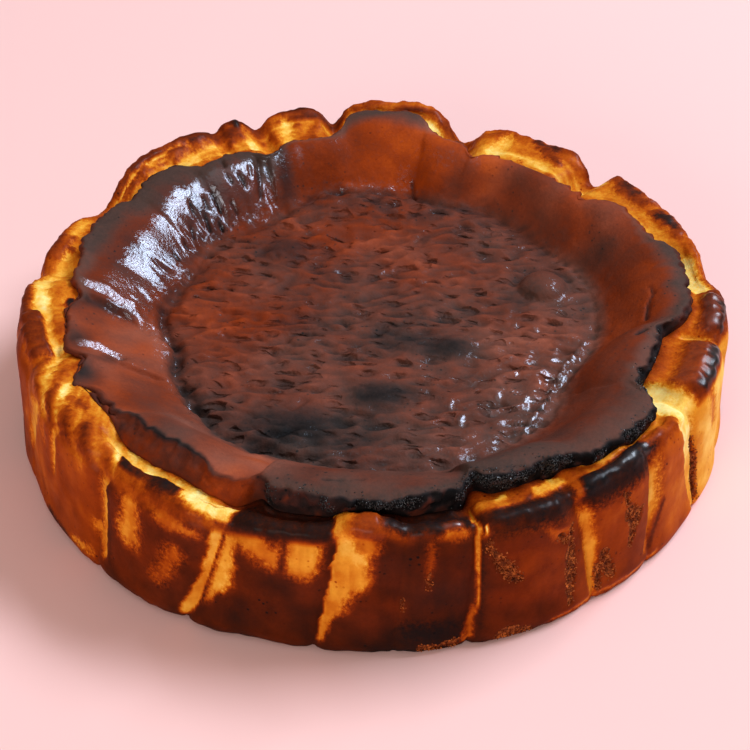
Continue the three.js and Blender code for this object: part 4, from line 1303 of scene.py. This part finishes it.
# The dents add darker tone: painted shade in them.
tone = (tone + pore * 0.2 + dent * 0.08 + lip_speck * 1.2).clamped()
brown = coloured(start, SKIN_COLOURS, tone)
grey = coloured(start, ASH_COLOURS, tone)
ash = (mark_wire(start, "ashen") + (mottle - 0.5) * 0.3).clamped()
colour = start.node("ShaderNodeMix", {"data_type": "RGBA"}, {0: ash, 6: brown, 7: grey}, output=2)
wetness = gloss_mark * (wet + 0.6) + (leather - 0.5) * gloss_mark * (1 - gloss_mark) * 7
shine = risen(start, wetness, 0.15, 0.75, "SMOOTHSTEP")
height = mottle * 0.4 + leather * 0.4 + grain * 0.2
dented = bumped(start, 1.0, 0.0017, 1 - dent)
bump = bumped(start, 0.5, 0.001, height, Normal=dented)
matte = start.node("ShaderNodeBsdfPrincipled", sockets={
    "Base Color": colour, "Roughness": 0.6, "Normal": bump, "Specular IOR Level": 0.04})
fine = bumped(start, 0.36, 0.0008, leather * 0.8 + grain * 0.3, Normal=dented)
glossy = start.node("ShaderNodeBsdfPrincipled", sockets={
    "Base Color": colour, "Roughness": 0.13, "Normal": fine, "Specular IOR Level": 0.9,
    "Specular Tint": (0.8, 0.87, 1.0, 1.0)})
shader = start.node("ShaderNodeMixShader", sockets={0: shine, 1: matte, 2: glossy})
start.node("ShaderNodeOutputMaterial", sockets={"Surface": shader})
burnt_skin.data.materials.append(skin_finish)

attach(burnt_skin, "root")

# Char grit
# Crumbs of black char along the broken faces and lips of the front tongues, where the burnt skin has split
# and its carbon stands up in loose grains stuck to it.
GRIT_PER_MM2 = 6.0
GRIT_RADIUS = 0.24
GRIT_SEED = 4
grain_tree = bpy.data.node_groups.new("grains", "GeometryNodeTree")
grain_inputs = {}
for label, kind in (
    ("Surface", "Geometry"), ("Mark", "String"), ("Per square metre", "Float"), ("Radius", "Float"),
    ("Seed", "Int"), ("Finish", "Material"),
):
    socket = grain_tree.interface.new_socket(label, in_out="INPUT", socket_type=f"NodeSocket{kind}")
    grain_inputs[label] = socket.identifier
grain_tree.interface.new_socket("Grains", in_out="OUTPUT", socket_type="NodeSocketGeometry")
inputs = grain_tree.nodes.new("NodeGroupInput")
given = {label: Wire(grain_tree, inputs.outputs[label]) for label in grain_inputs}
start = Wire(grain_tree)
cover = start.node(
    "GeometryNodeInputNamedAttribute", {"data_type": "FLOAT"}, {"Name": given["Mark"]}, "Attribute")
spots = start.node("GeometryNodeDistributePointsOnFaces", sockets={
    "Mesh": given["Surface"], "Density": cover * given["Per square metre"], "Seed": given["Seed"],
}, output="Points")
ball = start.node("GeometryNodeMeshIcoSphere", sockets={
    "Radius": given["Radius"], "Subdivisions": 1}, output="Mesh")


def random_vector(low, high):
    """A vector for each grain, drawn at random between two others."""
    sockets = {0: low, 1: high, "Seed": given["Seed"]}
    return start.node("FunctionNodeRandomValue", {"data_type": "FLOAT_VECTOR"}, sockets)


spin = random_vector((0, 0, 0), (math.tau, math.tau, math.tau))
stretch = random_vector((0.5, 0.5, 0.5), (1.6, 1.4, 1.2))
grains = start.node("GeometryNodeInstanceOnPoints", sockets={
    "Points": spots, "Instance": ball, "Rotation": spin, "Scale": stretch}, output="Instances")
grains = start.node("GeometryNodeRealizeInstances", sockets={"Geometry": grains})
grains = start.node("GeometryNodeSetMaterial", sockets={"Geometry": grains, "Material": given["Finish"]})
start.node("NodeGroupOutput", sockets={"Grains": grains})


def grains_on(surface, name, mark, per_mm2, radius, seed, finish):
    """Grains where a piece's mark has them, as one plain mesh of their own."""
    values = {
        "Mark": mark, "Per square metre": per_mm2 / MM ** 2, "Radius": radius * MM, "Seed": seed,
        "Finish": finish,
    }
    holder = bpy.data.objects.new(name, surface.data.copy())
    bpy.context.scene.collection.objects.link(holder)
    modifier = holder.modifiers.new("grains", "NODES")
    modifier.node_group = grain_tree
    for label, value in values.items():
        modifier[grain_inputs[label]] = value
    worked_out = holder.evaluated_get(bpy.context.evaluated_depsgraph_get())
    made = bpy.data.meshes.new_from_object(worked_out)
    holder.modifiers.clear()
    old = holder.data
    holder.data = made
    bpy.data.meshes.remove(old)
    made.name = name
    return holder


CHAR_COLOURS = ((0.0, (10, 9, 10)), (0.55, (17, 14, 14)), (0.66, (46, 18, 18)), (1.0, (80, 40, 34)))
char_finish, start = new_finish("loose_char")
place = start.node("ShaderNodeTexCoord", output="Object")
flecks = noise_wire(start, place, 260.0, 4.0)
colour = coloured(start, CHAR_COLOURS, flecks)
shader = start.node("ShaderNodeBsdfPrincipled", sockets={
    "Base Color": colour, "Roughness": (0.25 + flecks * 0.5).clamped(), "Coat Weight": 0.3})
start.node("ShaderNodeOutputMaterial", sockets={"Surface": shader})
char_grit = grains_on(burnt_skin, "char_grit", "grit", GRIT_PER_MM2, GRIT_RADIUS, GRIT_SEED, char_finish)
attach(char_grit, "root")

# Torn crumb
# Crumbs of baked custard in the patches of the wall where the paper was pulled off, rough and darker than
# the smooth browned surface round them.
CRUMB_PER_MM2 = 6.0
CRUMB_RADIUS = 0.3
CRUMB_SEED = 8
CRUMB_COLOURS = ((0.3, (58, 23, 11)), (0.5, (130, 58, 22)), (0.7, (206, 112, 48)))
crumb_finish, start = new_finish("torn_crumb")
place = start.node("ShaderNodeTexCoord", output="Object")
flecks = noise_wire(start, place, 700.0, 3.0)
colour = coloured(start, CRUMB_COLOURS, flecks)
shader = start.node("ShaderNodeBsdfPrincipled", sockets={
    "Base Color": colour, "Roughness": (0.9 - flecks * 0.4).clamped(), "Specular IOR Level": 0.12})
start.node("ShaderNodeOutputMaterial", sockets={"Surface": shader})
torn_crumb = grains_on(
    custard_body, "torn_crumb", "torn", CRUMB_PER_MM2, CRUMB_RADIUS, CRUMB_SEED, crumb_finish)
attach(torn_crumb, "root")

# Floor, light and camera
# A plain pale floor, a large soft window light from behind on the right, and weaker soft lights from above
# and in front.
FLOOR_SIDE = 8.0
FLOOR_COLOUR = (248, 198, 191)
FLOOR_CORNERS = ((-1, -1), (1, -1), (1, 1), (-1, 1))
floor_points = [(x * FLOOR_SIDE / 2, y * FLOOR_SIDE / 2, 0) for x, y in FLOOR_CORNERS]
floor_mesh = bpy.data.meshes.new("studio_floor")
floor_mesh.from_pydata(floor_points, [], [(0, 1, 2, 3)])
studio_floor = bpy.data.objects.new("studio_floor", floor_mesh)
bpy.context.scene.collection.objects.link(studio_floor)
floor_finish, start = new_finish("pale_floor")
shader = start.node("ShaderNodeBsdfPrincipled", sockets={
    "Base Color": linear(*FLOOR_COLOUR), "Roughness": 0.9})
start.node("ShaderNodeOutputMaterial", sockets={"Surface": shader})
floor_mesh.materials.append(floor_finish)
CAKE_TOP = (0, 0, 0.03)


def soft_light(name, place, width, height, watts, colour):
    """A rectangular light that faces the middle of the cake's top."""
    lamp = bpy.data.lights.new(name, "AREA")
    lamp.shape = "RECTANGLE"
    lamp.size = width
    lamp.size_y = height
    lamp.energy = watts
    lamp.color = colour
    light = bpy.data.objects.new(name, lamp)
    light.location = place
    x, y, z = np.subtract(CAKE_TOP, place)
    light.rotation_euler = (math.acos(-z / math.hypot(x, y, z)), 0, math.atan2(y, x) - math.pi / 2)
    bpy.context.scene.collection.objects.link(light)


soft_light("window", (1.45, 0.75, 1.9), 1.4, 0.7, 76, (0.74, 0.85, 1.0))
soft_light("ceiling", (0.0, -0.1, 2.0), 2.2, 2.2, 8, (1.0, 0.97, 0.93))
soft_light("front", (-0.9, -2.0, 0.85), 1.3, 0.8, 24, (1.0, 0.95, 0.88))
world = bpy.data.worlds.new("studio")
world.use_nodes = True
world.node_tree.nodes["Background"].inputs["Color"].default_value = (1.0, 0.95, 0.93, 1.0)
world.node_tree.nodes["Background"].inputs["Strength"].default_value = 0.2
bpy.context.scene.world = world
bpy.context.scene.view_settings.view_transform = "Standard"

IMAGE_SIDE = 750.0
FOCAL_PIXELS = 1600.0
CAMERA_DISTANCE = 0.559
CAMERA_DROP = 39.7
FRAME_RIGHT = 3.5
FRAME_UP = 23.0
lens = bpy.data.cameras.new("camera")
lens.sensor_width = 36.0
lens.lens = FOCAL_PIXELS / IMAGE_SIDE * lens.sensor_width
lens.shift_x = FRAME_RIGHT / IMAGE_SIDE
lens.shift_y = FRAME_UP / IMAGE_SIDE
camera = bpy.data.objects.new("camera", lens)
drop = math.radians(CAMERA_DROP)
camera.location = (0, -CAMERA_DISTANCE * math.cos(drop), CAMERA_DISTANCE * math.sin(drop))
camera.rotation_euler = (math.pi / 2 - drop, 0, 0)
bpy.context.scene.collection.objects.link(camera)
bpy.context.scene.camera = camera
